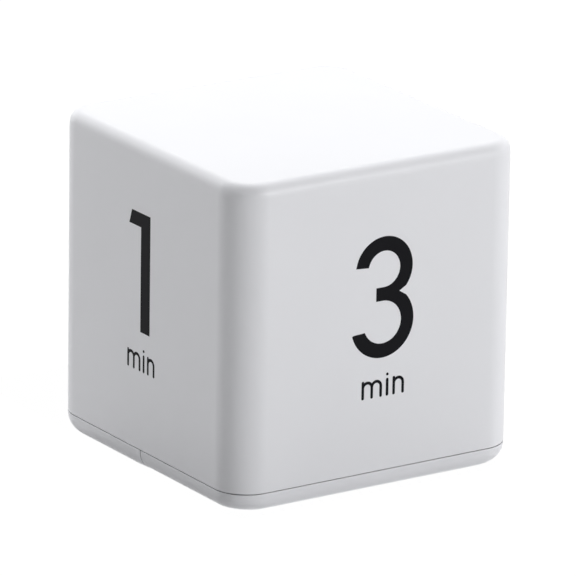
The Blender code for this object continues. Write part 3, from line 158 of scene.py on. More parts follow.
# Cells and the box round them
CELL_RADIUS = lengths("battery_front")[1] / 2
FRONT_CELL_Y, CELL_Z = middle("battery_front")[1:]
REAR_CELL_Y = middle("battery_rear")[1]
CELL_BORE = CELL_RADIUS + CLEARANCE
CELL_WALL = 0.0012
CELL_SHELL = CELL_BORE + CELL_WALL
CELL_BOX_MARGIN = 0.0017
CELL_BOX_HALF = BAY_HALF - CELL_BOX_MARGIN - CELL_WALL
CELL_BOX_TOP = CELL_Z + CELL_SHELL
HALF_CELL_PITCH = (REAR_CELL_Y - FRONT_CELL_Y) / 2
CELL_BOX_VALLEY = CELL_Z + sqrt(CELL_SHELL ** 2 - HALF_CELL_PITCH ** 2)
CONTACT_TAB_HALF = 0.0012
SOUNDER_Y = middle("sounder_plate")[1]
SOUNDER_RING_INSET = 0.0004
SOUNDER_RING = RING_HIGH.x - SOUNDER_RING_INSET
SOUNDER_RING_WALL = 0.0009
SOUNDER_RING_TOP = RING_LOW.z - CLEARANCE

# Case screws and their towers
CASE_SCREWS = ("case_screw_left", "case_screw_right")
BOARD_SCREWS = ("board_screw_front_left", "board_screw_front_right",
                "board_screw_rear_left", "board_screw_rear_right")
CASE_SCREW_RADIUS = 0.00085
CASE_SCREW_HEAD_HEIGHT = 0.0012
CASE_SCREW_HEAD_RADIUS = 0.0015
SCREW_SEAT_DEPTH = 0.0027
SCREW_SEAT = DECK_Z + SCREW_SEAT_DEPTH
TOWER_RADIUS = 0.0021
TOWER_HEIGHT = 0.0062
TOWER_TOP = BAND_HEIGHT + CLEARANCE + TOWER_HEIGHT
BOARD_SCREW_RADIUS = 0.0010
BOARD_BOSS_RADIUS = 0.0023

# Display window, switch pocket and sound slots
LENS_GAP = 0.00012
LENS_CORNER = 0.0015
LENS_FACE_Z = 0.00045
LENS_EDGE = 0.00012
LENS_RECESS_TOP = LENS_TOP + CLEARANCE
LENS_SEAT_SHARE = 0.138
LENS_SEAT = LENS_SEAT_SHARE * LENS_SIZE[1]
DISPLAY_Y = middle("display_lens")[1]
GLASS_RIB_WIDTH = 0.0010
GLASS_RIB_END = 0.00375
GLASS_RIB_HEIGHT = 0.0026
SWITCH_X = -0.0100
SWITCH_REST_X, SWITCH_Y, _ = middle("switch_knob")
SWITCH_TRAVEL = 0.0025
POCKET_WIDTH = 0.0112
POCKET_LENGTH = 0.0044
POCKET_CORNER = 0.0010
POCKET_Z = 0.0012
THUMB_WIDTH = 0.0034
THUMB_LENGTH = 0.0020
THUMB_Z = 0.00055
THUMB_EDGE = 0.00018
THUMB_GROOVE_WIDTH = 0.0004
THUMB_GROOVE_DEPTH = 0.00028
THUMB_GROOVE_PITCH = 0.0009
THUMB_GROOVE_COUNT = 3
THUMB_GROOVE_SHARES = (1.6, 0.6)  # of a groove's width, over and in the thumb piece
KNOB_RIB_WIDTH = 0.00065
KNOB_RIB_LENGTH = 0.0120
KNOB_RIB_HEIGHT = 0.0012
STEM_WIDTH = 0.0012
STEM_LENGTH = 0.0010
SLOT_X = 0.0100
SLOT_WIDTH = 0.0080
SLOT_LENGTH = 0.0008
SLOT_PITCH = 0.0018
SLOT_COUNT = 3

# Display glass and its figures
SEGMENT_HEIGHT = 0.0098      # of a figure on the display
SEGMENT_WIDTH = 0.0050
SEGMENT_LINE = 0.0010
SEGMENT_GAP = 0.00022
SEGMENT_LEAN = 0.09
SEGMENT_Z = 0.00222
SEGMENT_THICKNESS = 0.00004
FIGURE_PLACES = (-0.0107, -0.0041, 0.0041, 0.0107)
COLON_SHIFT = 0.0021
COLON_RADIUS = 0.0007

# Cells and contacts
CELL_EDGE_RADIUS = 0.0005
CELL_WRAP = 0.00008
CELL_WRAP_SETBACK = 0.00003
CELL_WRAP_FOLD = 0.0009
CELL_END_RECESS = 0.0004
CELL_LABEL_BORDER = 0.0330   # from the negative end to the copper part of the wrap
CELL_LABEL_BLUR = 0.00003
CELL_WORDS = (               # text, height, start and foot
    ("AAA 1.5V", 0.0030, 0.0100, -0.0015),
    ("+", 0.0034, 0.0370, -0.0017),
    ("-", 0.0034, 0.0035, -0.0017),
)
NUB_RADIUS = 0.0019
NUB_LENGTH = 0.0010
NUB_EDGE = 0.0002
SPRING_WIRE = 0.0005
SPRING_BASE_RADIUS = 0.0031
SPRING_TIP_RADIUS = 0.0022
SPRING_PITCH = 0.0010
SPRING_TURNS = 3
CONTACT_FACE = -TAB_HIGH.x

# Screws
BOARD_SCREW_HEAD_HEIGHT = 0.0013
THREAD_PITCH = 0.0007
THREAD_DEPTH = 0.18          # of the shank's radius
SCREW_TIP_LENGTH = 0.0012
SCREW_TIP_SHARE = 0.55       # of the shank's radius, at its end
RECESS_WIDTH = 0.30          # of the head's radius
RECESS_LENGTH = 0.62
RECESS_DEPTH = 0.62          # of the head's height
RECESS_SHARES = (0.6, 1.1)   # of the recess's width, at its floor and over its mouth

# Board parts
ON_BOARD = BOARD_HIGH.z + CLEARANCE
CAN_RADIUS = 0.0026
CAN_WALL = 0.0004
CAN_LENGTH = 0.0080
CAN_EDGE = 0.0004
CAN_TILT = radians(45)
CAN_OFFSET = 0.0140
CAN_A_SHARE = 0.471
CAN_B_SHARE = 0.730
CAN_BASE_THICKNESS = 0.0012
CAN_BASE_PROUD = 0.0002
PIN_RADIUS = 0.0003
PIN_SPACING = 0.0018
BODY_EDGE = 0.00015          # rounding of small moulded bodies
SLEEVE_FOLD = 0.0004
RESISTOR_END = 0.00045
RUBBER_STRIPES = 0.010       # scale of the layers of the contact strip
LEAD_RADIUS = 0.0005
LEAD_END_SHARE = 0.131
JOINT_SHARE = 1.6            # radius of a joint, of the lead's radius
LEAD_RED_X = 0.0195
LEAD_BLACK_X = 0.0165
SOUNDER_LEAD_X = 0.0065
SOUNDER_LEAD_PITCH = 0.0030
DISC_EDGE = 0.00005
SOLDER_RISE = 0.7            # height of a drop of solder, of its radius

# How finely round stretches are cut
SPRING_STEPS = 36
WIRE_SIDES = 14
LEAD_STEPS = 16
THREAD_STEPS = 6
CORNER_STEPS = 20
EDGE_STEPS = 14
SMALL_STEPS = 4
ROUND_STEPS = 64
HOLE_STEPS = 40
SMOOTH_ANGLE = radians(30)

# Printed marks
INK_THICKNESS = 0.00002
INK_LIFT = 0.00002           # from a moulded face out to the ink's face
LETTER_WIDTH = 0.00057
INK_SHEEN = 0.06
SWITCH_WORD_HEIGHT = 0.0013
SWITCH_WORD_FOOT = 0.0061
SWITCH_WORD_OFF = -0.01500
SWITCH_WORD_ON = -0.00790
ONE_SHIFT = -0.00008         # of the 1 from the middle of its face
ONE_WORD_SHIFT = (-0.0016, 0.0010)
TEN_SHIFTS = (-0.0071, 0.0049)  # of the 1 and of the 0

STROKES = {                  # in shares of a letter's height, with each letter's width
    "A": (0.72, [[(0, 0), (0.36, 1), (0.72, 0)], [(0.13, 0.35), (0.59, 0.35)]]),
    "F": (0.50, [[(0, 0), (0, 1), (0.50, 1)], [(0, 0.52), (0.42, 0.52)]]),
    "N": (0.64, [[(0, 0), (0, 1), (0.64, 0), (0.64, 1)]]),
    "V": (0.72, [[(0, 1), (0.36, 0), (0.72, 1)]]),
    "1": (0.30, [[(0, 0.78), (0.26, 1), (0.26, 0)]]),
    "5": (0.54, [[(0.50, 1), (0.08, 1), (0.04, 0.58), (0.28, 0.64), (0.50, 0.50),
                  (0.54, 0.32), (0.48, 0.12), (0.28, 0), (0.08, 0.04), (0, 0.14)]]),
    "O": (0.80, []),         # words makes its ring
    ".": (0.08, [[(0.04, 0)]]),
    "+": (0.70, [[(0, 0.5), (0.70, 0.5)], [(0.35, 0.15), (0.35, 0.85)]]),
    "-": (0.70, [[(0, 0.5), (0.70, 0.5)]]),
    " ": (0.30, []),
}
LETTER_GAP = 0.24            # between small letters, of their height
LETTER_LINE = 0.14           # width of a small letter's stroke, of its height

# Patterns of the finishes
FINE_DETAIL = 3.0            # of a fine grain's noise
NOISE_REACH = (0.3, 0.7)     # where most of a noise's values lie
ROUGHNESS_VARY = 0.08

# Photograph: camera round the timer, worked out from its outline
PHOTO_AZIMUTH = radians(-33.47)
PHOTO_ELEVATION = radians(17.64)
PHOTO_ROLL = radians(0.87)
CAMERA_DISTANCE = 21.43 * 2 * HALF_WIDTH
CAMERA_SHIFT_RIGHT = 0.004 * 2 * HALF_WIDTH
CAMERA_SHIFT_UP = -0.0063 * 2 * HALF_WIDTH
FOCAL_SHARE = 12.555         # focal length of the camera, of its sensor's width
SENSOR_WIDTH = 36.0

# Floor and light, placed round the timer's middle
TARGET = Vector((0, 0, CASE_HEIGHT / 2))
FLOOR_Z = -0.00005
FLOOR_HALF = 3.0
FLOOR_HOLE_INSET = 0.0014    # from the edge of the timer and of its open door
DOOR_TRAVEL = 0.0330
FLOOR_ALBEDO = 0.65
FLOOR_LEVEL = 1.08           # strength of its plain white
FLOOR_GLOW = 0.90            # share of the floor that shows as plain white
FLOOR_GLOSS = 0.25           # the same in reflections, which keep more of the shadow
AMBIENT = 0.095              # strength of the even light
LAMPS = (  # name, azimuth, elevation, distance, size, power, whether it shows in sheen
    ("front_low", 20, 6, 1.20, 0.45, 4.10, True),
    ("front_fill", 20, 6, 1.20, 0.45, 2.90, False),
    ("front_right", 35, 24, 1.20, 0.45, 0.90, True),
    ("right", 80, 24, 1.20, 0.45, 3.05, False),
    ("rear_left_high", -150, 36, 1.20, 0.45, 6.45, False),
    ("rear_right_high", 150, 50, 1.20, 0.45, 8.50, False),
    ("overhead", 0, 88, 1.20, 0.45, 2.60, False),
    ("under", -50, -68, 0.80, 0.60, 4.00, True),
)


# Forms

def outline(half_x, half_y, radius, waist=(), steps=CORNER_STEPS):
    """Return a rounded rectangle, down its left side and back up its right side.

    The values of waist are the y of extra points on the two straight sides.
    """
    left = []
    for side, start in ((1, pi / 2), (-1, pi)):
        for step in range(steps + 1):
            angle = start + pi / 2 * step / steps
            left.append((radius - half_x + radius * cos(angle),
                         side * (half_y - radius) + radius * sin(angle)))
        if side > 0:
            left += [(-half_x, y) for y in waist]
    return left + [(-x, y) for x, y in reversed(left)]


def ramp_places():
    """Return the y of the points where the display end changes its level."""
    length = RAMP_REAR - RAMP_FRONT
    return [RAMP_REAR - length * step / RAMP_STEPS for step in range(RAMP_STEPS + 1)]


def case_ring(inset, z, corner_share=1.0, waist=()):
    """Return the case's outline drawn in by an inset; its corners tighten by a share of it."""
    half = HALF_WIDTH - FACE_SETBACK - inset
    radius = max(CORNER_RADIUS - corner_share * inset, CLEARANCE)
    return [(x, y, z) for x, y in outline(half, half, radius, waist)]


def settled(point):
    """Move a point of the band to its half's level: the door's, the cover's or between."""
    x, y, z = point
    share = min(max((RAMP_REAR - y) / (RAMP_REAR - RAMP_FRONT), 0.0), 1.0)
    share = share * share * (3 - 2 * share)
    low = COVER_RAISE * share
    into_corner = (min(abs(x), abs(y)) - HALF_WIDTH + CORNER_RADIUS) / CORNER_RADIUS
    rim = DOOR_RIM + (COVER_RIM - DOOR_RIM) * share - CORNER_FALL * max(into_corner, 0.0)
    return x, y, low + (rim - low) * z / BAND_HEIGHT


def quarter(steps):
    """Return the angles of a quarter turn, both ends included."""
    return [pi / 2 * step / steps for step in range(steps + 1)]


def rounded_top(side, z, radius, steps=SMALL_STEPS, inward=-1):
    """Return points up round an upper edge; inward is the way from the side to the middle."""
    return [(side + inward * radius * (1 - cos(a)), z - radius * (1 - sin(a)))
            for a in quarter(steps)]


def bevelled(radius, low, high, edge):
    """Return (radius, z) up the side of a form with a bevel at both ends."""
    return [(radius - edge, low), (radius, low + edge), (radius, high - edge),
            (radius - edge, high)]


def dome(radius, foot, height, steps):
    """Return (radius, z) up a dome, all but its crown."""
    return [(radius * cos(a), foot + height * sin(a)) for a in quarter(steps)[:-1]]


def circle(radius, z, steps=ROUND_STEPS, centre=(0, 0)):
    """Return a circle as points at one height."""
    turns = [tau * step / steps for step in range(steps)]
    return [(centre[0] + radius * cos(t), centre[1] + radius * sin(t), z) for t in turns]


def add_cap(bm, ring, rows):
    """Close a ring of vertices, with one face or with rows from its left to its right."""
    if not rows:
        bm.faces.new(ring)
        return
    for index in range(len(ring) // 2 - 1):
        bm.faces.new((ring[index], ring[index + 1], ring[-2 - index], ring[-1 - index]))


def skin(rings, closed=False, rows=False):
    """Skin equally long rings; the ends are capped, or joined where it is closed."""
    bm = bmesh.new()
    levels = [[bm.verts.new(point) for point in ring] for ring in rings]
    pairs = list(zip(levels, levels[1:]))
    if closed:
        pairs.append((levels[-1], levels[0]))
    for lower, upper in pairs:
        for index, corner in enumerate(lower):
            following = (index + 1) % len(lower)
            bm.faces.new((corner, lower[following], upper[following], upper[index]))
    if not closed:
        add_cap(bm, levels[0], rows)
        add_cap(bm, levels[-1], rows)
    bmesh.ops.recalc_face_normals(bm, faces=bm.faces)
    return bm


def span(centre, size):
    """Return the two ends of a size set evenly about a centre."""
    return centre - size / 2, centre + size / 2


def spread(count, pitch):
    """Return places set evenly about zero."""
    return [(index - (count - 1) / 2) * pitch for index in range(count)]


def box_form(x_ends, y_ends, z_ends):
    """Rectangular form given by its ends along each axis."""
    low_x, high_x = x_ends
    low_y, high_y = y_ends
    corners = [(low_x, low_y), (high_x, low_y), (high_x, high_y), (low_x, high_y)]
    return skin([[(x, y, z) for x, y in corners] for z in z_ends])


def box_between(levels):
    """Tapering form with a rectangle of half sizes (x, y) at each level."""
    return skin([[(-x, -y, z), (x, -y, z), (x, y, z), (-x, y, z)] for x, y, z in levels])


def bar_form(points, x_ends):
    """Extrude (y, z) points along X."""
    return skin([[(x, y, z) for y, z in points] for x in x_ends])


def turned_form(profile, centre=(0, 0), steps=ROUND_STEPS, closed=False):
    """Turn a profile of (radius, z) points about an upright axis."""
    return skin([circle(radius, z, steps, centre) for radius, z in profile], closed)


def plate_form(size_x, size_y, radius, levels, centre, steps=EDGE_STEPS):
    """Rounded plate through levels of (growth, z), each drawn out by its growth."""
    rings = []
    for growth, z in levels:
        points = outline(size_x / 2 + growth, size_y / 2 + growth,
                         max(radius + growth, SMALLEST_RADIUS), steps=steps)
        rings.append([(centre[0] + x, centre[1] + y, z) for x, y in points])
    return skin(rings)


def mouth_form(size_x, size_y, radius, centre, face, depth):
    """Cutter of an opening in the display end, chamfered where it meets the face."""
    levels = [(MOUTH_EDGE + OVERRUN, face - OVERRUN), (0, face + MOUTH_EDGE), (0, depth)]
    return plate_form(size_x, size_y, radius, levels, centre)


def ball_form(radius, centre):
    """Smooth ball."""
    bm = bmesh.new()
    bmesh.ops.create_uvsphere(bm, u_segments=HOLE_STEPS, v_segments=HOLE_STEPS // 2,
                              radius=radius, matrix=Matrix.Translation(centre))
    return bm


def merged(forms):
    """Return several forms as one."""
    whole = bmesh.new()
    for form in forms:
        mesh = as_mesh("part", form)
        whole.from_mesh(mesh)
        bpy.data.meshes.remove(mesh)
    return whole


def as_mesh(name, form):
    """Turn a form into a mesh and free it."""
    mesh = bpy.data.meshes.new(name)
    form.to_mesh(mesh)
    form.free()
    return mesh


def as_object(name, data):
    """Link a mesh, lamp or camera to the scene."""
    item = bpy.data.objects.new(name, data)
    bpy.context.scene.collection.objects.link(item)
    return item


def evaluated_mesh(item):
    """Return an object's mesh with its modifiers applied."""
    graph = bpy.context.evaluated_depsgraph_get()
    return bpy.data.meshes.new_from_object(item.evaluated_get(graph),
                                           preserve_all_data_layers=True, depsgraph=graph)


def carved(form, *steps):
    """Cut and fuse forms with a body in turn, and return the result as a form.

    Each step is "cut" or "fuse" with the form that it works with.
    """
    body = as_object("body", as_mesh("body", form))
    operands = []
    for work, operand_form in steps:
        operand = as_object("operand", as_mesh("operand", operand_form))
        modifier = body.modifiers.new(work, "BOOLEAN")
        modifier.operation = "DIFFERENCE" if work == "cut" else "UNION"
        modifier.solver = "EXACT"
        modifier.object = operand
        operands.append(operand)
    result = bmesh.new()
    mesh = evaluated_mesh(body)
    result.from_mesh(mesh)
    bmesh.ops.remove_doubles(result, verts=result.verts, dist=MERGE_DISTANCE)
    for item in (body, *operands):
        spare = item.data
        bpy.data.objects.remove(item, do_unlink=True)
        bpy.data.meshes.remove(spare)
    bpy.data.meshes.remove(mesh)
    return result


def add_piece(name, form, material, node=None, body="case"):
    """Add a finished piece: smooth shading between sharp edges, flat faces kept flat."""
    mesh = as_mesh(name, form)
    mesh.shade_smooth()
    mesh.set_sharp_from_angle(angle=SMOOTH_ANGLE)
    mesh.materials.append(material)
    item = as_object(name, mesh)
    normals = item.modifiers.new("flat_faces_first", "WEIGHTED_NORMAL")
    normals.keep_sharp = True
    item.data = evaluated_mesh(item)
    item.data.name = name
    item.modifiers.clear()
    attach(item, body)
    if node:
        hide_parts(node)


def moved(form, matrix):
    """Move a form by a matrix."""
    bmesh.ops.transform(form, verts=form.verts, matrix=matrix)
    return form


def laid_form(form, start, facing, y, z):
    """Lay an upright form along X from a start, facing +X or -X, about (y, z)."""
    for vertex in form.verts:
        across, rise, along = vertex.co
        vertex.co = (start + facing * along, y + across, z + rise)
    bmesh.ops.recalc_face_normals(form, faces=form.faces)
    return form


def swept_form(points, radius, sides=WIRE_SIDES):
    """Round tube along points, with filled ends."""
    places = [Vector(point) for point in points]
    turns = [tau * step / sides for step in range(sides)]
    normal = (places[1] - places[0]).orthogonal()
    rings = []
    for index, place in enumerate(places):
        before = places[max(index - 1, 0)]
        along = (places[min(index + 1, len(places) - 1)] - before).normalized()
        normal = (normal - along * normal.dot(along)).normalized()
        side = along.cross(normal)
        rings.append([place + radius * (normal * cos(t) + side * sin(t)) for t in turns])
    return skin(rings)


# Finishes

def principled(name, color, roughness, metallic=0.0):
    """Return a material, its tree, its shader and the object coordinates."""
    material = bpy.data.materials.new(name)
    material.use_nodes = True
    tree = material.node_tree
    shader = tree.nodes["Principled BSDF"]
    shader.inputs["Base Color"].default_value = (*color, 1)
    shader.inputs["Roughness"].default_value = roughness
    shader.inputs["Metallic"].default_value = metallic
    place = tree.nodes.new("ShaderNodeTexCoord").outputs["Object"]
    return material, tree, shader, place


def add_node(tree, kind, values=None, links=None):
    """Add a shader node with values for some of its inputs and links to others."""
    node = tree.nodes.new(f"ShaderNode{kind}")
    for name, value in (values or {}).items():
        node.inputs[name].default_value = value
    for name, output in (links or {}).items():
        tree.links.new(output, node.inputs[name])
    return node


def add_noise(tree, place, size, detail=2.0):
    """Add noise whose grains have a size in metres, and return its value."""
    noise = add_node(tree, "TexNoise", {"Scale": 1 / size, "Detail": detail},
                     {"Vector": place})
    return noise.outputs["Fac"]


def add_range(tree, value, low, high):
    """Map noise around its middle to a range, and return the result."""
    least, most = NOISE_REACH
    values = {"From Min": least, "From Max": most, "To Min": low, "To Max": high}
    return add_node(tree, "MapRange", values, {"Value": value}).outputs["Result"]


def add_blend(tree, share, first, second):
    """Blend two colours by a share, and return the result."""
    blend = tree.nodes.new("ShaderNodeMix")
    blend.data_type = "RGBA"
    blend.inputs["A"].default_value = (*first, 1)
    blend.inputs["B"].default_value = (*second, 1)
    tree.links.new(share, blend.inputs["Factor"])
    return blend.outputs["Result"]


def add_bump(tree, shader, height, depth):
    """Let a height pattern with a depth in metres bend the shader's normal."""
    bump = add_node(tree, "Bump", {"Distance": depth, "Strength": 1.0}, {"Height": height})
    tree.links.new(bump.outputs["Normal"], shader.inputs["Normal"])


def grained(name, color, roughness, grain, depth, vary, patch=0.020, metallic=0.0):
    """Moulded or rolled finish: fine grain, soft changes of tone and of roughness.

    The sizes of grain and patch and the grain's depth are in metres.
    """
    material, tree, shader, place = principled(name, color, roughness, metallic)
    tone = add_range(tree, add_noise(tree, place, patch), low=0, high=1)
    darker = tuple(channel * (1 - vary) for channel in color)
    tree.links.new(add_blend(tree, tone, darker, color), shader.inputs["Base Color"])
    fine = add_noise(tree, place, grain, FINE_DETAIL)
    rough = add_range(tree, fine, roughness * (1 - ROUGHNESS_VARY),
                      roughness * (1 + ROUGHNESS_VARY))
    tree.links.new(rough, shader.inputs["Roughness"])
    add_bump(tree, shader, fine, depth)
    return material


def white_shell():
    """Satin white ABS with a fine spark eroded texture."""
    return grained("white_shell", (0.85, 0.855, 0.885), roughness=0.34, grain=0.00016,
                   depth=0.000003, vary=0.012)


def printed_ink():
    """Near black pad print with pinholes finer than a hair."""
    material = grained("printed_ink", (0.008, 0.008, 0.010), roughness=0.40, grain=0.00010,
                       depth=0.000002, vary=0.10)
    shader = material.node_tree.nodes["Principled BSDF"]
    shader.inputs["Specular IOR Level"].default_value = INK_SHEEN
    return material


def cell_ink():
    """Pale print on a cell's wrap."""
    return grained("cell_ink", (0.80, 0.80, 0.78), roughness=0.40, grain=0.00010,
                   depth=0.000002, vary=0.05)


def black_shell():
    """Satin black ABS of the switch and the small moulded bodies."""
    return grained("black_shell", (0.018, 0.018, 0.020), roughness=0.45, grain=0.00012,
                   depth=0.000004, vary=0.15)


def clear_window():
    """Clear acrylic with a faint unevenness."""
    material, tree, shader, place = principled("clear_window", (0.97, 0.98, 0.98),
                                               roughness=0.05)
    shader.inputs["Transmission Weight"].default_value = 1.0
    shader.inputs["IOR"].default_value = 1.49
    soft = add_noise(tree, place, size=0.0040)
    tree.links.new(add_range(tree, soft, low=0.03, high=0.07), shader.inputs["Roughness"])
    add_bump(tree, shader, soft, depth=0.000004)
    return material


def display_back():
    """Grey green of a reflective display, softly uneven, under a glossy glass."""
    material, tree, shader, place = principled("display_back", (0.40, 0.44, 0.38),
                                               roughness=0.35)
    soft = add_range(tree, add_noise(tree, place, size=0.0060), low=0, high=1)
    shades = add_blend(tree, soft, (0.385, 0.425, 0.37), (0.42, 0.46, 0.40))
    tree.links.new(shades, shader.inputs["Base Color"])
    shader.inputs["Coat Weight"].default_value = 1.0
    shader.inputs["Coat Roughness"].default_value = 0.05
    return material


def segment_ink():
    """Dark crystal of the display's figures."""
    return grained("segment_ink", (0.020, 0.024, 0.028), roughness=0.30, grain=0.00010,
                   depth=0.000001, vary=0.10)


def striped_rubber():
    """Elastomer strip: dark conducting layers between pale ones, along X."""
    material, tree, shader, place = principled("striped_rubber", (0.30, 0.30, 0.30),
                                               roughness=0.65)
    wave = add_node(tree, "TexWave", {"Scale": 1 / RUBBER_STRIPES}, {"Vector": place})
    wave.bands_direction = "X"
    band = add_range(tree, wave.outputs["Fac"], low=0, high=1)
    stripes = add_blend(tree, band, (0.03, 0.03, 0.03), (0.62, 0.60, 0.56))
    tree.links.new(stripes, shader.inputs["Base Color"])
    add_bump(tree, shader, band, depth=0.00001)
    return material


def solder_mask():
    """Green mask over copper runs, with a grain of glass weave."""
    material, tree, shader, place = principled("solder_mask", (0.02, 0.12, 0.05),
                                               roughness=0.30)
    runs = add_node(tree, "TexBrick", {
        "Color1": (0.016, 0.095, 0.040, 1), "Color2": (0.022, 0.130, 0.055, 1),
        "Mortar": (0.040, 0.200, 0.085, 1), "Scale": 1.0, "Brick Width": 0.0046,
        "Row Height": 0.0014, "Mortar Size": 0.00018}, {"Vector": place})
    tree.links.new(runs.outputs["Color"], shader.inputs["Base Color"])
    add_bump(tree, shader, runs.outputs["Fac"], depth=0.00003)
    weave = add_range(tree, add_noise(tree, place, size=0.0003), low=0.26, high=0.36)
    tree.links.new(weave, shader.inputs["Roughness"])
    return material


def bright_steel():
    """Nickel plated steel with fine rolling marks."""
    return grained("bright_steel", (0.66, 0.65, 0.63), roughness=0.28, grain=0.00010,
                   depth=0.000003, vary=0.10, patch=0.0030, metallic=1.0)


def rolled_brass():
    """Brass sheet."""
    return grained("rolled_brass", (0.78, 0.58, 0.25), roughness=0.30, grain=0.00014,
                   depth=0.000003, vary=0.12, patch=0.0040, metallic=1.0)


def silvered_ceramic():
    """Silver paste fired on a ceramic disc."""
    return grained("silvered_ceramic", (0.80, 0.79, 0.76), roughness=0.50, grain=0.00020,
                   depth=0.000006, vary=0.10, patch=0.0020, metallic=0.6)


def tinned_copper():
    """Soft solder on a joint."""
    return grained("tinned_copper", (0.70, 0.70, 0.69), roughness=0.36, grain=0.00030,
                   depth=0.000010, vary=0.15, patch=0.0010, metallic=1.0)


def chip_epoxy():
    """Matt black potting drop."""
    return grained("chip_epoxy", (0.014, 0.014, 0.015), roughness=0.62, grain=0.00050,
                   depth=0.000020, vary=0.20)


def insulation(name, color):
    """Flexible lead insulation."""
    return grained(name, color, roughness=0.48, grain=0.00020, depth=0.000005, vary=0.10)


def cell_label(name, start, facing):
    """Printed cell wrap: dark from the negative end, copper round the positive end."""
    material, tree, shader, place = principled(name, (0.02, 0.02, 0.022), roughness=0.32)
    along = add_node(tree, "SeparateXYZ", None, {"Vector": place}).outputs["X"]
    border, blur = start + facing * CELL_LABEL_BORDER, facing * CELL_LABEL_BLUR
    band = add_node(tree, "MapRange", {"From Min": border - blur, "From Max": border + blur},
                    {"Value": along})
    band.interpolation_type = "SMOOTHSTEP"
    colors = add_blend(tree, band.outputs["Result"], (0.020, 0.022, 0.026),
                       (0.58, 0.27, 0.10))
    tree.links.new(colors, shader.inputs["Base Color"])
    grain = add_noise(tree, place, size=0.0002, detail=FINE_DETAIL)
    tree.links.new(add_range(tree, grain, low=0.28, high=0.38), shader.inputs["Roughness"])
    add_bump(tree, shader, grain, depth=0.000003)
    return material


# Shells

def housing_profile():
    """Return (inset, z) from the ceiling, down the wall, round the rim and up outside."""
    ceiling = rounded_top(CASE_WALL, CASE_HEIGHT - CASE_WALL, CEILING_FILLET, EDGE_STEPS, 1)
    rim = arc_points(RIM_EDGE, PARTING_Z + RIM_EDGE, RIM_EDGE, -pi / 2, -pi, SMALL_STEPS)
    crown_z = CASE_HEIGHT - TOP_EDGE_RADIUS
    crown = rounded_top(CROWN_STEP, CASE_HEIGHT, TOP_EDGE_RADIUS, EDGE_STEPS, 1)
    return (list(reversed(ceiling)) + [(CASE_WALL, PARTING_Z)] + rim
            + [(0, crown_z - CROWN_STEP_HEIGHT)] + crown)


def hook_recess(side):
    """Pocket in the housing's front wall for a catch hook of the cover."""
    x = side * HOOK_SPACING / 2
    pocket = LIP_INSET - HALF_WIDTH - HOOK_REACH - CLEARANCE
    low = HOOK_FOOT - CLEARANCE
    return box_form(span(x, HOOK_WIDTH + 2 * CLEARANCE),
                    (pocket, CASE_WALL - HALF_WIDTH + OVERRUN),
                    (low, low + HOOK_HEIGHT + 2 * CLEARANCE))


def column(node, radius, foot, top):
    """Round column about a node's upright axis."""
    return turned_form([(radius, foot), (radius, top)], middle(node), HOLE_STEPS)


def housing(plastic):
    """Five sided shell with its screw posts and catch recesses."""
    shell = skin([case_ring(inset, z) for inset, z in housing_profile()])
    posts, holes = [], [hook_recess(side) for side in (-1, 1)]
    for node in CASE_SCREWS:
        x, y, _ = middle(node)
        posts.append(box_form(span(x, POST_WIDTH),
                              (y - TOWER_RADIUS, HALF_WIDTH - CASE_WALL + ROOT),
                              (TOWER_TOP + CLEARANCE, CASE_HEIGHT - CASE_WALL + ROOT)))
        holes.append(column(node, CASE_SCREW_RADIUS + CLEARANCE, TOWER_TOP - OVERRUN,
                            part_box(node)[1].z + CLEARANCE))
    form = carved(shell, ("fuse", merged(posts)), ("cut", merged(holes)))
    add_piece("housing_shell", form, plastic, "main_housing")


def band_arc(radius, fullness=2.0, steps=EDGE_STEPS):
    """Return (inset, z) round the band's lower edge from its top down to its lowest level."""
    points = []
    for a in quarter(steps):
        reach = radius * (cos(a) ** fullness + sin(a) ** fullness) ** (-1 / fullness)
        points.append((BAND_HEIGHT - reach * cos(a), BAND_HEIGHT - reach * sin(a)))
    return points


def outer_band():
    """Return (inset, z) of the band's outside, from its falling rim down to its lowest."""
    rim = [(PARTING_DEPTH, BAND_HEIGHT - PARTING_FALL), (PARTING_EDGE, BAND_HEIGHT)]
    below = BAND_HEIGHT - PARTING_EDGE
    return rim + [(0, below)] + [point for point in band_arc(BAND_HEIGHT, BAND_FULLNESS)
                                 if point[1] < below]


def band_rings(profile, corner_share):
    """Return rings of the band, each at its half's level."""
    waist = ramp_places()
    return [[settled(point) for point in case_ring(inset, z, corner_share, waist)]
            for inset, z in profile]


def cover_block():
    """Solid band and lip of the whole display end, before it is hollowed."""
    waist = ramp_places()
    rings = band_rings(list(reversed(outer_band())), BAND_CORNER_SHARE)
    foot = [settled(point) for point in
            case_ring(LIP_INSET, BAND_HEIGHT - PARTING_FALL, 1.0, waist)]
    lip = [case_ring(LIP_INSET, LIP_TOP - LIP_EDGE, 1.0, waist),
           case_ring(LIP_INSET + LIP_EDGE, LIP_TOP, 1.0, waist)]
    return skin(rings + [foot] + lip, rows=True)


def door_space():
    """Cutter for the room of the battery door and the gap between it and the cover."""
    tub = list(reversed(band_arc(BAND_HEIGHT - DOOR_WALL - CLEARANCE)))
    around = [(DOOR_WALL + CLEARANCE, BAND_HEIGHT + CLEARANCE / 2),
              (-OVERRUN, BAND_HEIGHT + CLEARANCE / 2), (-OVERRUN, -OVERRUN)]
    form = skin([case_ring(inset, z) for inset, z in tub + around])
    wide = HALF_WIDTH + 2 * OVERRUN
    return carved(form, ("cut", box_form((-wide, wide), (-wide, SEEN_SPLIT_Y),
                                         (-2 * OVERRUN, LIP_TOP))))


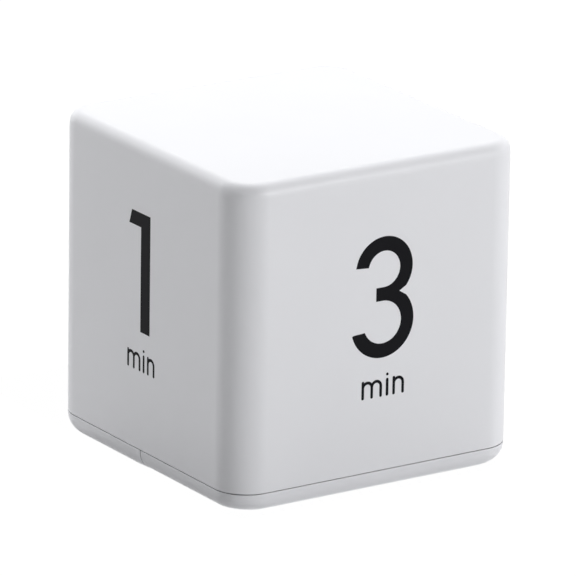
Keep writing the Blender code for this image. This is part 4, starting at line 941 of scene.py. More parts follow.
def cover_hollow():
    """Cutter for the display bay, and over the rear rim for the inside of the lip."""
    inset = LIP_INSET + LIP_THICKNESS
    form = skin([case_ring(inset, COVER_FLOOR), case_ring(inset, LIP_TOP + OVERRUN)])
    return carved(form, ("cut", box_form((-HALF_WIDTH, HALF_WIDTH),
                                         (STEP_FRONT, HALF_WIDTH), (0, RIM_TOP))))


def arc_points(centre_y, centre_z, radius, start, end, steps=HOLE_STEPS):
    """Return (y, z) points along an arc, both ends included."""
    angles = [start + (end - start) * step / steps for step in range(steps + 1)]
    return [(centre_y + radius * cos(a), centre_z + radius * sin(a)) for a in angles]


def cell_box():
    """Outer form of the cell box: two barrels side by side over straight walls."""
    valley = acos(HALF_CELL_PITCH / CELL_SHELL)
    points = [(REAR_CELL_Y + CELL_SHELL, BAND_HEIGHT)]
    points += arc_points(REAR_CELL_Y, CELL_Z, CELL_SHELL, 0, pi - valley)
    points += arc_points(FRONT_CELL_Y, CELL_Z, CELL_SHELL, valley, pi)[1:]
    points.append((FRONT_CELL_Y - CELL_SHELL, BAND_HEIGHT))
    half = CELL_BOX_HALF + CELL_WALL
    return bar_form(points, (-half, half))


def cell_channel(y):
    """Cutter for the room of one cell, open to the battery door."""
    points = [(y + CELL_BORE, -OVERRUN)]
    points += arc_points(y, CELL_Z, CELL_BORE, 0, pi)
    points.append((y - CELL_BORE, -OVERRUN))
    return bar_form(points, (-CELL_BOX_HALF, CELL_BOX_HALF))


def sounder_ring():
    """Round rib on the cell box under the sounder."""
    foot = CELL_BOX_VALLEY - ROOT
    inner = SOUNDER_RING - SOUNDER_RING_WALL
    return turned_form([(inner, foot), (SOUNDER_RING, foot), (SOUNDER_RING, SOUNDER_RING_TOP),
                        (inner, SOUNDER_RING_TOP)], (0, SOUNDER_Y), closed=True)


def catch_hook(side):
    """Wedge on the front lip that snaps into the housing's front wall."""
    face = LIP_INSET - HALF_WIDTH
    wedge = [(face + ROOT, HOOK_FOOT), (face - HOOK_REACH, HOOK_FOOT),
             (face + ROOT, HOOK_FOOT + HOOK_HEIGHT)]
    return bar_form(wedge, span(side * HOOK_SPACING / 2, HOOK_WIDTH))


def glass_ribs():
    """Ribs on the bay's floor beside and before the display glass."""
    levels = (COVER_FLOOR - ROOT, COVER_FLOOR + GLASS_RIB_HEIGHT)
    ribs = []
    for side in (-1, 1):
        x = side * (GLASS_HIGH.x + CLEARANCE + GLASS_RIB_WIDTH / 2)
        ribs.append(box_form(span(x, GLASS_RIB_WIDTH),
                             (GLASS_LOW.y + GLASS_RIB_END, GLASS_HIGH.y - GLASS_RIB_END),
                             levels))
    half = GLASS_HIGH.x - 2 * GLASS_RIB_END
    ribs.append(box_form((-half, half), (-BAY_HALF - ROOT, GLASS_LOW.y - CLEARANCE), levels))
    return ribs


def knob_rib():
    """Rib that guides the switch knob."""
    rear = KNOB_LOW.y - CLEARANCE
    return box_form(span(SWITCH_X, KNOB_RIB_LENGTH), (rear - KNOB_RIB_WIDTH, rear),
                    (COVER_FLOOR - ROOT, COVER_FLOOR + KNOB_RIB_HEIGHT))


def towers_and_bosses():
    """Towers for the case screws and bosses for the board screws."""
    towers = [column(node, TOWER_RADIUS, BAND_HEIGHT, TOWER_TOP) for node in CASE_SCREWS]
    return towers + [column(node, BOARD_BOSS_RADIUS, COVER_FLOOR - ROOT,
                            BOARD_LOW.z - CLEARANCE) for node in BOARD_SCREWS]


def screw_bores():
    """Stepped bores of the towers and blind holes of the bosses."""
    shank = CASE_SCREW_RADIUS + CLEARANCE
    head = CASE_SCREW_HEAD_RADIUS + CLEARANCE
    bore = [(head + MOUTH_EDGE + OVERRUN, DECK_Z - OVERRUN), (head, DECK_Z + MOUTH_EDGE),
            (head, SCREW_SEAT), (shank, SCREW_SEAT), (shank, TOWER_TOP + OVERRUN)]
    bores = [turned_form(bore, middle(node), HOLE_STEPS) for node in CASE_SCREWS]
    return bores + [column(node, BOARD_SCREW_RADIUS + CLEARANCE,
                           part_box(node)[0].z - CLEARANCE, BOARD_LOW.z + OVERRUN)
                    for node in BOARD_SCREWS]


def lens_opening():
    """Recess of the lens with the window behind it."""
    size_x, size_y = [size + 2 * LENS_GAP for size in LENS_SIZE[:2]]
    seat = -LENS_SEAT - LENS_GAP
    levels = [(MOUTH_EDGE + OVERRUN, COVER_RAISE - OVERRUN), (0, COVER_RAISE + MOUTH_EDGE),
              (0, LENS_RECESS_TOP), (seat, LENS_RECESS_TOP), (seat, COVER_FLOOR + OVERRUN)]
    return plate_form(size_x, size_y, LENS_CORNER + LENS_GAP, levels, (0, DISPLAY_Y))


def face_openings():
    """Lens opening, switch pocket and sound slots."""
    pocket = mouth_form(POCKET_WIDTH, POCKET_LENGTH, POCKET_CORNER, (SWITCH_X, SWITCH_Y),
                        COVER_RAISE, POCKET_Z)
    return [lens_opening(), pocket] + [
        mouth_form(SLOT_WIDTH, SLOT_LENGTH, SLOT_LENGTH / 2 - SMALLEST_RADIUS,
                   (SLOT_X, SWITCH_Y + shift), COVER_RAISE, COVER_FLOOR + OVERRUN)
        for shift in spread(SLOT_COUNT, SLOT_PITCH)]


def thumb_slot():
    """Slot of the thumb piece through the pocket's floor."""
    return plate_form(THUMB_WIDTH + SWITCH_TRAVEL + 2 * CLEARANCE, THUMB_LENGTH + 2 * CLEARANCE,
                      CLEARANCE, [(0, 0), (0, COVER_FLOOR + OVERRUN)], (SWITCH_X, SWITCH_Y))


def both_sides(inner, outer):
    """Return the ends along X of what stands on both sides."""
    return (-outer, -inner), (inner, outer)


def side_openings():
    """Slots for the contacts' solder tabs and channels for the door's tabs."""
    tab = (TAB_LOW.x - CLEARANCE / 2, TAB_HIGH.x + CLEARANCE)
    half = CONTACT_TAB_HALF + CLEARANCE
    forms = [box_form(tab, (y - half, y + half), (CELL_Z, CELL_BOX_TOP + OVERRUN))
             for y in (FRONT_CELL_Y, REAR_CELL_Y)]
    outer = HALF_WIDTH + OVERRUN
    levels = (DOOR_TAB_FOOT - CLEARANCE, BAND_HEIGHT + CLEARANCE)
    return forms + [box_form(x_ends, (DOOR_FRONT, outer), levels)
                    for x_ends in both_sides(TAB_TIP - CLEARANCE, outer)]


def end_cover(plastic):
    """Front half of the display end with the cell box behind the battery door."""
    hooks = [catch_hook(side) for side in (-1, 1)]
    form = carved(cover_block(),
                  ("cut", door_space()),
                  ("cut", cover_hollow()),
                  ("fuse", cell_box()),
                  ("fuse", sounder_ring()),
                  ("fuse", merged(hooks + glass_ribs() + [knob_rib()] + towers_and_bosses())),
                  ("cut", merged(screw_bores() + face_openings())),
                  ("cut", merged([thumb_slot(), cell_channel(FRONT_CELL_Y)])),
                  ("cut", cell_channel(REAR_CELL_Y)),
                  ("cut", merged(side_openings())))
    add_piece("end_cover", form, plastic, "display_cover")


def door_tabs():
    """Tabs that run in the side channels of the cover."""
    return [box_form(x_ends, (start, start + DOOR_TAB_LENGTH), (DOOR_TAB_FOOT, DOOR_TAB_TOP))
            for start in DOOR_TAB_STARTS
            for x_ends in both_sides(TAB_TIP, HALF_WIDTH - DOOR_WALL + ROOT)]


def thumb_ridges():
    """Round ridges across the thumb rest."""
    forms = []
    half = GRIP_WIDTH / 2 - GRIP_RIDGE_PITCH
    crest = GRIP_SUNK - GRIP_RIDGE_HEIGHT
    radius = GRIP_RIDGE_WIDTH / 2
    for shift in spread(GRIP_RIDGE_COUNT, GRIP_RIDGE_PITCH):
        y = GRIP_Y + shift
        points = arc_points(y, crest + radius, radius, -pi, 0, EDGE_STEPS)
        points += [(y + radius, GRIP_SUNK + ROOT), (y - radius, GRIP_SUNK + ROOT)]
        forms.append(bar_form(points, (-half, half)))
    return forms


def arrow_recess():
    """Sunk arrow that points the way the door slides, chamfered at its mouth."""
    tip = (0, ARROW_Y + ARROW_LENGTH)
    corners = [(-ARROW_WIDTH / 2, ARROW_Y), (ARROW_WIDTH / 2, ARROW_Y), tip]
    centre_y = ARROW_Y + ARROW_LENGTH / 3
    rings = []
    for growth, z in ((ARROW_FLARE, -ARROW_SUNK), (1, MOUTH_EDGE), (1, ARROW_SUNK)):
        rings.append([(x * growth, centre_y + (y - centre_y) * growth, z) for x, y in corners])
    return skin(rings)


def sliding_door(plastic):
    """Rear half of the display end, with inward tabs and a ribbed thumb rest."""
    inside = list(reversed(band_arc(BAND_HEIGHT - DOOR_WALL)[1:]))
    inside.append((DOOR_WALL, BAND_HEIGHT - PARTING_FALL))
    inner = band_rings(inside, 1.0)
    outer = band_rings(outer_band(), BAND_CORNER_SHARE)
    wide = HALF_WIDTH + OVERRUN
    grip = mouth_form(GRIP_WIDTH, GRIP_LENGTH, OVERRUN, (0, GRIP_Y), 0, GRIP_SUNK)
    form = carved(skin(inner + outer, rows=True),
                  ("cut", box_form((-wide, wide), (-wide, SEEN_DOOR_FRONT),
                                   (-OVERRUN, BAND_HEIGHT + OVERRUN))),
                  ("fuse", merged(door_tabs())),
                  ("cut", merged([grip, arrow_recess()])),
                  ("fuse", merged(thumb_ridges())))
    add_piece("sliding_door", form, plastic, "battery_door", "door")


# Display and switch

def lens(clear):
    """Clear window, a little below the display end's face."""
    levels = [(-LENS_EDGE, LENS_FACE_Z), (0, LENS_FACE_Z + LENS_EDGE), (0, LENS_TOP)]
    form = plate_form(*LENS_SIZE[:2], LENS_CORNER, levels, (0, DISPLAY_Y))
    add_piece("window", form, clear, "display_lens")


def thumb_groove(x):
    """Cutter of a groove across the thumb piece, wider at its mouth."""
    wide, narrow = [share * THUMB_GROOVE_WIDTH / 2 for share in THUMB_GROOVE_SHARES]
    mouth, floor = THUMB_Z - ROOT, THUMB_Z + THUMB_GROOVE_DEPTH
    return skin([[(x - wide, y, mouth), (x + wide, y, mouth), (x + narrow, y, floor),
                  (x - narrow, y, floor)] for y in span(SWITCH_Y, 2 * THUMB_LENGTH)])


def knob(plastic):
    """Switch knob: guide plate, and a thumb piece with grooves and rounded edges."""
    centre = (SWITCH_REST_X, SWITCH_Y)
    plate_z = COVER_FLOOR + CLEARANCE
    plate = plate_form(*lengths("switch_knob")[:2], BODY_EDGE,
                       [(-BODY_EDGE, plate_z), (0, plate_z + BODY_EDGE), (0, KNOB_HIGH.z)],
                       centre, SMALL_STEPS)
    edge = [(-THUMB_EDGE * (1 - sin(a)), THUMB_Z + THUMB_EDGE * (1 - cos(a)))
            for a in quarter(SMALL_STEPS)]
    thumb = plate_form(THUMB_WIDTH, THUMB_LENGTH, THUMB_EDGE,
                       edge + [(0, plate_z + CLEARANCE)], centre, SMALL_STEPS)
    grooves = [thumb_groove(SWITCH_REST_X + shift)
               for shift in spread(THUMB_GROOVE_COUNT, THUMB_GROOVE_PITCH)]
    socket = box_form(span(SWITCH_REST_X, STEM_WIDTH + 2 * CLEARANCE),
                      span(SWITCH_Y, STEM_LENGTH + 2 * CLEARANCE),
                      (plate_z, KNOB_HIGH.z + OVERRUN))
    form = carved(plate, ("fuse", thumb), ("cut", merged(grooves)), ("cut", socket))
    add_piece("slide_knob", form, plastic, "switch_knob", "switch")


# Cells and contacts

def cell(name, node, start, facing, y, steel):
    """Steel can of a cell in its printed wrap, with a mark for its positive end."""
    length = lengths(node)[0]
    shoulder = length - NUB_LENGTH
    outer = CELL_RADIUS - CELL_WRAP_SETBACK
    edge = CELL_EDGE_RADIUS
    fold = outer - CELL_WRAP_FOLD
    over = [(outer - edge + edge * sin(a), edge * (1 - cos(a))) for a in quarter(SMALL_STEPS)]
    wrap = [(fold, 0)] + over
    wrap += [(radius, shoulder - along) for radius, along in reversed(over)]
    wrap += [(fold, shoulder), (fold, shoulder - CELL_WRAP),
             (outer - CELL_WRAP, shoulder - edge), (outer - CELL_WRAP, edge),
             (fold, CELL_WRAP)]
    body = outer - 2 * CELL_WRAP
    recess = shoulder - CELL_END_RECESS
    can = [(fold - CELL_WRAP, CELL_WRAP / 2), (body, edge), (body, shoulder - edge),
           (fold - CELL_WRAP, shoulder - CELL_WRAP), (fold - 2 * CELL_WRAP, recess),
           (NUB_RADIUS + NUB_EDGE, recess), (NUB_RADIUS, recess + NUB_EDGE),
           (NUB_RADIUS, length - NUB_EDGE), (NUB_RADIUS - NUB_EDGE, length)]
    label = cell_label(f"{name}_label", start, facing)
    for part, profile, closed, material in (("wrap", wrap, True, label),
                                            ("can", can, False, steel)):
        form = laid_form(turned_form(profile, closed=closed), start, facing, y, CELL_Z)
        add_piece(f"{name}_{part}", form, material, node)


def cell_print(name, start, facing, y, ink):
    """Type and polarity marks on the side of a cell that shows under the door."""
    shapes = [shape for mark in CELL_WORDS for shape in words(*mark)]
    radius = CELL_RADIUS - CELL_WRAP_SETBACK + INK_LIFT

    def wound(u, v, depth):
        turn = v / radius
        return (start + facing * u, y - facing * (radius - depth) * sin(turn),
                CELL_Z - (radius - depth) * cos(turn))

    add_piece(f"{name}_print", ink_form(shapes, wound), ink)


def both_cells(steel, ink):
    """Two cells side by side, turned opposite ways."""
    for name, node, end, facing, y in (
            ("front_cell", "battery_front", 1, -1, FRONT_CELL_Y),
            ("rear_cell", "battery_rear", 0, 1, REAR_CELL_Y)):
        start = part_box(node)[end].x
        cell(name, node, start, facing, y, steel)
        cell_print(name, start, facing, y, ink)


def spring(node, y, side, steel):
    """Tapering contact spring, wound from its plate towards its cell."""
    plate_end = CONTACT_FACE - CLEARANCE - SPRING_WIRE / 2
    points = []
    for step in range(SPRING_TURNS * SPRING_STEPS + 1):
        turns = step / SPRING_STEPS
        radius = SPRING_BASE_RADIUS + (SPRING_TIP_RADIUS - SPRING_BASE_RADIUS) * (
            turns / SPRING_TURNS)
        points.append((side * (plate_end - SPRING_PITCH * turns),
                       y + radius * cos(tau * turns), CELL_Z + radius * sin(tau * turns)))
    add_piece(f"{node}_coil", swept_form(points, SPRING_WIRE / 2), steel, node)


# Screws

def screw_head(radius, height):
    """Pan head with its cross recess; its underside is at zero."""
    profile = [(radius - BODY_EDGE, 0), (radius, BODY_EDGE)]
    profile += rounded_top(radius, height, height / 2, EDGE_STEPS)
    ends = list(zip(RECESS_SHARES, (height * (1 - RECESS_DEPTH), height + BODY_EDGE)))
    half, reach = RECESS_WIDTH * radius / 2, RECESS_LENGTH * radius
    bars = [("cut", box_between([(x * share, y * share, z) for share, z in ends]))
            for x, y in ((reach, half), (half, reach))]
    return carved(turned_form(profile, steps=HOLE_STEPS), *bars)


def screw_shank(radius, length):
    """Shank with a wound thread and a narrowing tip, down from zero."""
    rings = []
    count = round(length / THREAD_PITCH * THREAD_STEPS)
    for step in range(count + 1):
        z = length * (step / count - 1)
        from_tip = (length + z) / SCREW_TIP_LENGTH
        narrow = min(1.0, SCREW_TIP_SHARE + (1 - SCREW_TIP_SHARE) * from_tip)
        ring = []
        for index in range(HOLE_STEPS // 2):
            turn = 2 * index / HOLE_STEPS
            crest = abs(2 * ((z / THREAD_PITCH - turn) % 1) - 1)
            size = radius * narrow * (1 - THREAD_DEPTH * (1 - crest))
            ring.append((size * cos(tau * turn), size * sin(tau * turn), z))
        rings.append(ring)
    rings.append([(x, y, BODY_EDGE) for x, y, z in rings[-1]])
    return skin(rings)


def screw(node, shank_radius, head_height, up, steel):
    """Screw at its solid's place; its shank points up or down."""
    x, y, _ = middle(node)
    width, _, length = lengths(node)
    form = carved(screw_head(width / 2, head_height),
                  ("fuse", screw_shank(shank_radius, length - head_height)))
    low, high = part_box(node)
    seat = low.z + head_height if up else high.z - head_height
    turn = Matrix.Rotation(pi if up else 0, 4, "X")
    form = moved(form, Matrix.Translation((x, y, seat)) @ turn)
    add_piece(f"{node}_cut", form, steel, node)


def all_screws(steel):
    """Two case screws that point up and four board screws that point down."""
    for node in CASE_SCREWS:
        screw(node, CASE_SCREW_RADIUS, CASE_SCREW_HEAD_HEIGHT, True, steel)
    for node in BOARD_SCREWS:
        screw(node, BOARD_SCREW_RADIUS, BOARD_SCREW_HEAD_HEIGHT, False, steel)


# Board parts

def on_board_y(share):
    """Return the place along Y at a share of the board's length from its rear edge."""
    return BOARD_HIGH.y - share * (BOARD_HIGH.y - BOARD_LOW.y)


def can_place(tag):
    """Return the placement of a tilt switch on the board."""
    side, share, turn = ((-1, CAN_A_SHARE, (0, CAN_TILT, 0)) if tag == "a" else
                         (1, CAN_B_SHARE, (-CAN_TILT, 0, 0)))
    foot = (side * CAN_OFFSET, on_board_y(share), ON_BOARD + CAN_RADIUS * sin(CAN_TILT))
    return Matrix.Translation(foot) @ Euler(turn).to_matrix().to_4x4()


def tilt_can(tag, steel):
    """Drawn can with a rounded closed end."""
    bore = CAN_RADIUS - CAN_WALL
    profile = [(bore, CAN_LENGTH - CAN_WALL), (bore, 0), (CAN_RADIUS, 0)]
    profile += rounded_top(CAN_RADIUS, CAN_LENGTH, CAN_EDGE)
    form = moved(turned_form(profile, steps=HOLE_STEPS), can_place(tag))
    add_piece(f"tilt_can_{tag}_drawn", form, steel, f"tilt_can_{tag}")


def tilt_base(tag, plastic, tin):
    """Insulating base of a tilt switch and its two pins, bent down to the board."""
    place = can_place(tag)
    radius = CAN_RADIUS - CAN_WALL - CLEARANCE
    profile = [(radius - BODY_EDGE, -CAN_BASE_PROUD), (radius, -CAN_BASE_PROUD + BODY_EDGE),
               (radius, CAN_BASE_THICKNESS - CAN_BASE_PROUD)]
    form = moved(turned_form(profile, steps=HOLE_STEPS), place)
    add_piece(f"tilt_base_{tag}_body", form, plastic, f"tilt_base_{tag}")
    foot = place.to_translation()
    axis = place.to_3x3() @ Vector((0, 0, 1))
    side = axis.cross(Vector((0, 0, 1))).normalized()
    pins = []
    for shift in spread(2, PIN_SPACING):
        start = foot + side * shift
        end = Vector((start.x, start.y, ON_BOARD))
        pins.append(swept_form([start, start.lerp(end, 0.5), end], PIN_RADIUS))
        pins.append(solder_dome(end.x, end.y, 2 * PIN_RADIUS))
    add_piece(f"tilt_pins_{tag}", merged(pins), tin)


def solder_dome(x, y, radius):
    """Drop of solder on the board."""
    return turned_form(dome(radius, ON_BOARD, radius * SOLDER_RISE, SMALL_STEPS), (x, y),
                       HOLE_STEPS // 2)


def tilt_ball(tag, steel):
    """Loose ball inside a tilt switch."""
    node = f"tilt_ball_{tag}"
    form = ball_form(lengths(node)[2] / 2, middle(node))
    add_piece(f"{node}_round", form, steel, node, f"ball_{tag}")


def chip_drop(epoxy):
    """Potting drop over the control chip."""
    width, _, height = lengths("control_chip")
    profile = dome(width / 2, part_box("control_chip")[0].z, height, EDGE_STEPS)
    form = turned_form(profile, middle("control_chip"))
    add_piece("chip_drop", form, epoxy, "control_chip")


def crystal_can(steel):
    """Timing crystal's can, lying on the board."""
    length, _, width = lengths("timing_crystal")
    _, y, z = middle("timing_crystal")
    upright = turned_form(bevelled(width / 2, 0, length, BODY_EDGE), steps=HOLE_STEPS)
    form = laid_form(upright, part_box("timing_crystal")[0].x, 1, y, z)
    add_piece("crystal_can", form, steel, "timing_crystal")


def capacitor(plastic, steel):
    """Sleeve of the capacitor, folded over the rim of its can."""
    node = "filter_capacitor"
    low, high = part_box(node)
    radius, fold = (high.x - low.x) / 2, SLEEVE_FOLD
    inner = radius - 2 * fold
    profile = [(inner, low.z), (radius, low.z), (radius, low.z + 2 * fold),
               (radius - fold / 3, low.z + 3 * fold), (radius, low.z + 4 * fold)]
    profile += rounded_top(radius, high.z, fold) + [(inner, high.z), (inner, high.z - fold)]
    can = [(inner - DISC_EDGE, low.z), (inner - DISC_EDGE, high.z - fold / 2)]
    for part, points, closed, material in (("sleeve", profile, True, plastic),
                                           ("can", can, False, steel)):
        form = turned_form(points, middle(node), closed=closed)
        add_piece(f"capacitor_{part}", form, material, node)


def resistor(index, plastic, tin):
    """Chip resistor: a dark body between two tinned ends."""
    node = f"chip_resistor_{index}"
    low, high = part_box(node)
    x, y, _ = middle(node)
    width, length = lengths(node)[:2]
    levels = bevelled(0, low.z, high.z, DISC_EDGE)
    body = plate_form(width, length - RESISTOR_END, DISC_EDGE,
                      [(growth - DISC_EDGE, z) for growth, z in levels], (x, y), SMALL_STEPS)
    ends = [plate_form(width, RESISTOR_END, DISC_EDGE, levels, (x, end), SMALL_STEPS)
            for end in (low.y + RESISTOR_END / 2, high.y - RESISTOR_END / 2)]
    add_piece(f"{node}_body", body, plastic, node)
    add_piece(f"{node}_ends", merged(ends), tin, node)


def sounder(brass, ceramic):
    """Brass plate with the silvered ceramic disc on it."""
    for name, node, material, slot in (
            ("sounder_brass", "sounder_plate", brass, "brass"),
            ("sounder_silver", "sounder_ceramic", ceramic, "ceramic")):
        low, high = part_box(node)
        profile = bevelled((high.x - low.x) / 2, low.z, high.z, DISC_EDGE)
        add_piece(name, turned_form(profile, middle(node)), material, node)


def smooth_route(route):
    """Return points on a smooth curve through a route's points."""
    places = [Vector(point) for point in route]
    padded = [2 * places[0] - places[1]] + places + [2 * places[-1] - places[-2]]
    fine = [places[0]]
    for index in range(len(places) - 1):
        before, start, end, after = padded[index:index + 4]
        for step in range(1, LEAD_STEPS + 1):
            share = step / LEAD_STEPS
            square, cube = share ** 2, share ** 3
            fine.append(start * (2 * cube - 3 * square + 1)
                        + (end - before) / 2 * (cube - 2 * square + share)
                        + end * (3 * square - 2 * cube)
                        + (after - start) / 2 * (cube - square))
    return fine


def lead(node, start, over, end_x, material):
    """Insulated lead from its start, over the cell box, down to the board."""
    box_front = FRONT_CELL_Y - CELL_BORE
    front = (box_front - CELL_WALL, CELL_BOX_TOP - CELL_WALL)
    end = (on_board_y(LEAD_END_SHARE), ON_BOARD + LEAD_RADIUS)
    foot = ((BOARD_HIGH.y + end[0]) / 2, end[1] + CELL_WALL)
    run = start[1] - end[0]
    route = [start]
    for y, z in [*over, front, foot, end]:
        route.append((start[0] + (end_x - start[0]) * (start[1] - y) / run, y, z))
    add_piece(f"{node}_wire", swept_form(smooth_route(route), LEAD_RADIUS), material, node)


def all_leads(red, black, tin):
    """Two leads from the contacts and two from the sounder, with their joints."""
    tab_x = -(CONTACT_FACE - CLEARANCE - LEAD_RADIUS)
    crown = CELL_BOX_TOP + CLEARANCE + LEAD_RADIUS
    crest = crown + CLEARANCE
    past_crown = (FRONT_CELL_Y - CELL_RADIUS / 2, crest)
    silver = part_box("sounder_ceramic")[1]
    on_ceramic = silver.z + CLEARANCE + LEAD_RADIUS
    on_plate = RING_HIGH.z + CLEARANCE + LEAD_RADIUS
    off_sounder = [(FRONT_CELL_Y, on_ceramic + LEAD_RADIUS),
                   (RING_LOW.y - CLEARANCE, RING_HIGH.z + LEAD_RADIUS)]
    joints = []
    for source, color, start, over, end_x in (
            ("battery", "red", (tab_x, FRONT_CELL_Y, crown), [past_crown], -LEAD_RED_X),
            ("battery", "black", (tab_x, REAR_CELL_Y, crown),
             [(FRONT_CELL_Y, crest), past_crown], -LEAD_BLACK_X),
            ("sounder", "red", (silver.x / 2, SOUNDER_Y, on_ceramic), off_sounder,
             SOUNDER_LEAD_X),
            ("sounder", "black", ((RING_HIGH.x + silver.x) / 2, SOUNDER_Y, on_plate),
             off_sounder, SOUNDER_LEAD_X + SOUNDER_LEAD_PITCH)):
        material = red if color == "red" else black
        lead(f"{source}_lead_{color}", start, over, end_x, material)
        joints.append(solder_dome(end_x, on_board_y(LEAD_END_SHARE),
                                  JOINT_SHARE * LEAD_RADIUS))
    add_piece("lead_joints", merged(joints), tin)


def repaint(material, *nodes):
    """Give solids that are shown as they are a finish of their own."""
    for name in nodes:
        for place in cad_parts[name].material_slots:
            place.material = material


# Printed marks

def arc(centre, radius, start, end, steps=HOLE_STEPS):
    """Return points round a centre from one angle to another, in degrees."""
    turns = [radians(start + (end - start) * step / steps) for step in range(steps + 1)]
    return [(centre[0] + radius * cos(t), centre[1] + radius * sin(t)) for t in turns]


def stroke(points, width):
    """Return the shapes of a line of even width with round ends."""
    shapes = [arc(point, width / 2, 0, 360, EDGE_STEPS)[:-1] for point in points]
    for start, end in zip(map(Vector, points), map(Vector, points[1:])):
        along = (end - start).normalized() * (width / 2)
        side = Vector((-along.y, along.x))
        shapes.append([tuple(corner) for corner in
                       (start + side, start - side, end - side, end + side)])
    return shapes


def figure_three():
    """Large 3: two bowls that meet in a short bar."""
    upper, upper_inner, upper_outer = (0.000565, 0.04388), 0.00351, 0.00630
    lower, lower_inner, lower_outer = (0.00033, 0.03362), 0.00413, 0.00692
    bar_x = -0.001125
    bar_top = upper[1] - upper_inner
    bar_foot = lower[1] + lower_inner
    points = [(-0.00300, 0.04455)]
    points += arc(upper, upper_inner, 169.4, -90)
    points += [(bar_x, bar_top), (bar_x, bar_foot)]
    points += arc(lower, lower_inner, 90, -158.5)
    points += [(-0.00602, 0.03195)]
    points += arc(lower, lower_outer, -164.5, 41)
    points += [(0.00402, 0.03912)]
    points += arc(upper, upper_outer, -38, 171)
    points += [(-0.00580, 0.04478)]
    return [points]


def figure_one(shift=0.0):
    """Large 1: a stem with a flag to its left."""
    stem_right, stem_left, flag_left, flag_top_left = 0.0021, -0.0011, -0.00519, -0.00431
    foot, flag_foot, top = 0.0278, 0.04819, 0.05094
    points = [(stem_right, top), (stem_right, foot), (stem_left, foot),
              (stem_left, flag_foot), (flag_left, flag_foot), (flag_top_left, top)]
    return [[(u + shift, z) for u, z in points]]


def figure_five():
    """Large 5: a bar, a slanted stem and one bowl."""
    bowl, inner, outer = (0.00055, 0.03445), 0.00495, 0.0075
    bar_low, bar_high, bar_end = 0.0474, 0.0501, 0.0059
    points = [(bar_end, bar_high), (-0.0038, bar_high), (-0.00545, 0.03745)]
    points += [(-0.00300, 0.03745)]
    points += arc(bowl, inner, 137, -157)
    points += [(-0.00655, 0.03260)]
    points += arc(bowl, outer, -163, 116)
    points += [(-0.0019, bar_low), (bar_end, bar_low)]
    return [points]


def ring_quads(u, v, half_width, half_height, line):
    """Return an upright ring about (u, v), as the quads between its two outlines."""
    quads = []
    for step in range(ROUND_STEPS):
        ends = [tau * step / ROUND_STEPS, tau * (step + 1) / ROUND_STEPS]
        outer = [(u + half_width * cos(t), v + half_height * sin(t)) for t in ends]
        inner = [(u + (half_width - line) * cos(t), v + (half_height - line) * sin(t))
                 for t in reversed(ends)]
        quads.append(outer + inner)
    return quads


def figure_zero(shift):
    """Large 0."""
    height, half_width, half_height, line = 0.03937, 0.0059, 0.01157, 0.00265
    return ring_quads(shift, height, half_width, half_height, line)


def word_min(shift=0.0, rise=0.0):
    """Small word "min" in strokes of one width."""
    foot, top, dot = 0.01934, 0.02227, 0.02330
    m_left, m_middle, m_right, i_place, n_left, n_right = (
        -0.00375, -0.00175, 0.00025, 0.00167, 0.00315, 0.00516)
    lines = [[(left, foot), (left, top + LETTER_WIDTH / 4)] for left in (m_left, n_left)]
    arches = []
    for left, right in ((m_left, m_middle), (m_middle, m_right), (n_left, n_right)):
        half = (right - left) / 2
        arches.append([arc((left + half, top - half), half, 180, 0, EDGE_STEPS),
                       [(right, top - half), (right, foot)]])
    lines += arches[0] + arches[1] + [[(i_place, foot), (i_place, top)], [(i_place, dot)]]
    shapes = []
    for points in lines + arches[2]:
        shapes += stroke([(u + shift, z + rise) for u, z in points], LETTER_WIDTH)
    return shapes


def counter_clockwise(shape):
    """Return a shape's points in counter-clockwise order."""
    turned = sum(one[0] * other[1] - other[0] * one[1]
                 for one, other in zip(shape, shape[1:] + shape[:1]))
    return shape if turned > 0 else shape[::-1]


def inked(shapes):
    """Return a test of whether any of the closed shapes goes round a point."""
    reaches = []
    for shape in shapes:
        us, vs = [u for u, v in shape], [v for u, v in shape]
        reaches.append((min(us), max(us), min(vs), max(vs)))

    def goes_round(shape, u, v):
        inside = False
        for (u1, v1), (u2, v2) in zip(shape, shape[1:] + shape[:1]):
            if (v1 > v) != (v2 > v) and u < u1 + (v - v1) * (u2 - u1) / (v2 - v1):
                inside = not inside
        return inside

    def test(u, v):
        return any(left < u < right and low < v < high and goes_round(shape, u, v)
                   for shape, (left, right, low, high) in zip(shapes, reaches))

    return test


def ink_form(shapes, to_place):
    """Thin flat form of overlapping shapes; to_place turns (u, v, depth) into a point."""
    points, faces = [], []
    for shape in shapes:
        faces.append(list(range(len(points), len(points) + len(shape))))
        points += [Vector(point) for point in counter_clockwise(shape)]
    flat, _, triangles, _, _, _ = delaunay_2d_cdt(points, [], faces, 1, INK_THICKNESS / 100)
    bm = bmesh.new()
    verts = [bm.verts.new(to_place(point.x, point.y, 0)) for point in flat]
    in_ink = inked(shapes)
    for triangle in triangles:
        if in_ink(*(sum((flat[index] for index in triangle), Vector((0, 0))) / 3)):
            bm.faces.new([verts[index] for index in triangle])
    bmesh.ops.delete(bm, geom=[vert for vert in verts if not vert.link_faces],
                     context="VERTS")
    grown = bmesh.ops.extrude_face_region(bm, geom=list(bm.faces))
    inward = Vector(to_place(0, 0, INK_THICKNESS)) - Vector(to_place(0, 0, 0))
    backs = [item for item in grown["geom"] if isinstance(item, bmesh.types.BMVert)]
    bmesh.ops.translate(bm, verts=backs, vec=inward)
    bmesh.ops.recalc_face_normals(bm, faces=bm.faces)
    return bm


def on_side(turn):
    """Return a function that places (u, z, depth) on the side turned from the -Y face."""
    face = HALF_WIDTH - FACE_SETBACK + INK_LIFT
    rotation = Matrix.Rotation(turn, 3, "Z")
    return lambda u, z, depth: tuple(rotation @ Vector((u, depth - face, z)))


def on_display_end(u, v, depth):
    """Place (u, v, depth) on the display end's front half; v points to the -Y face."""
    return (u, -v, COVER_RAISE - INK_LIFT + depth)


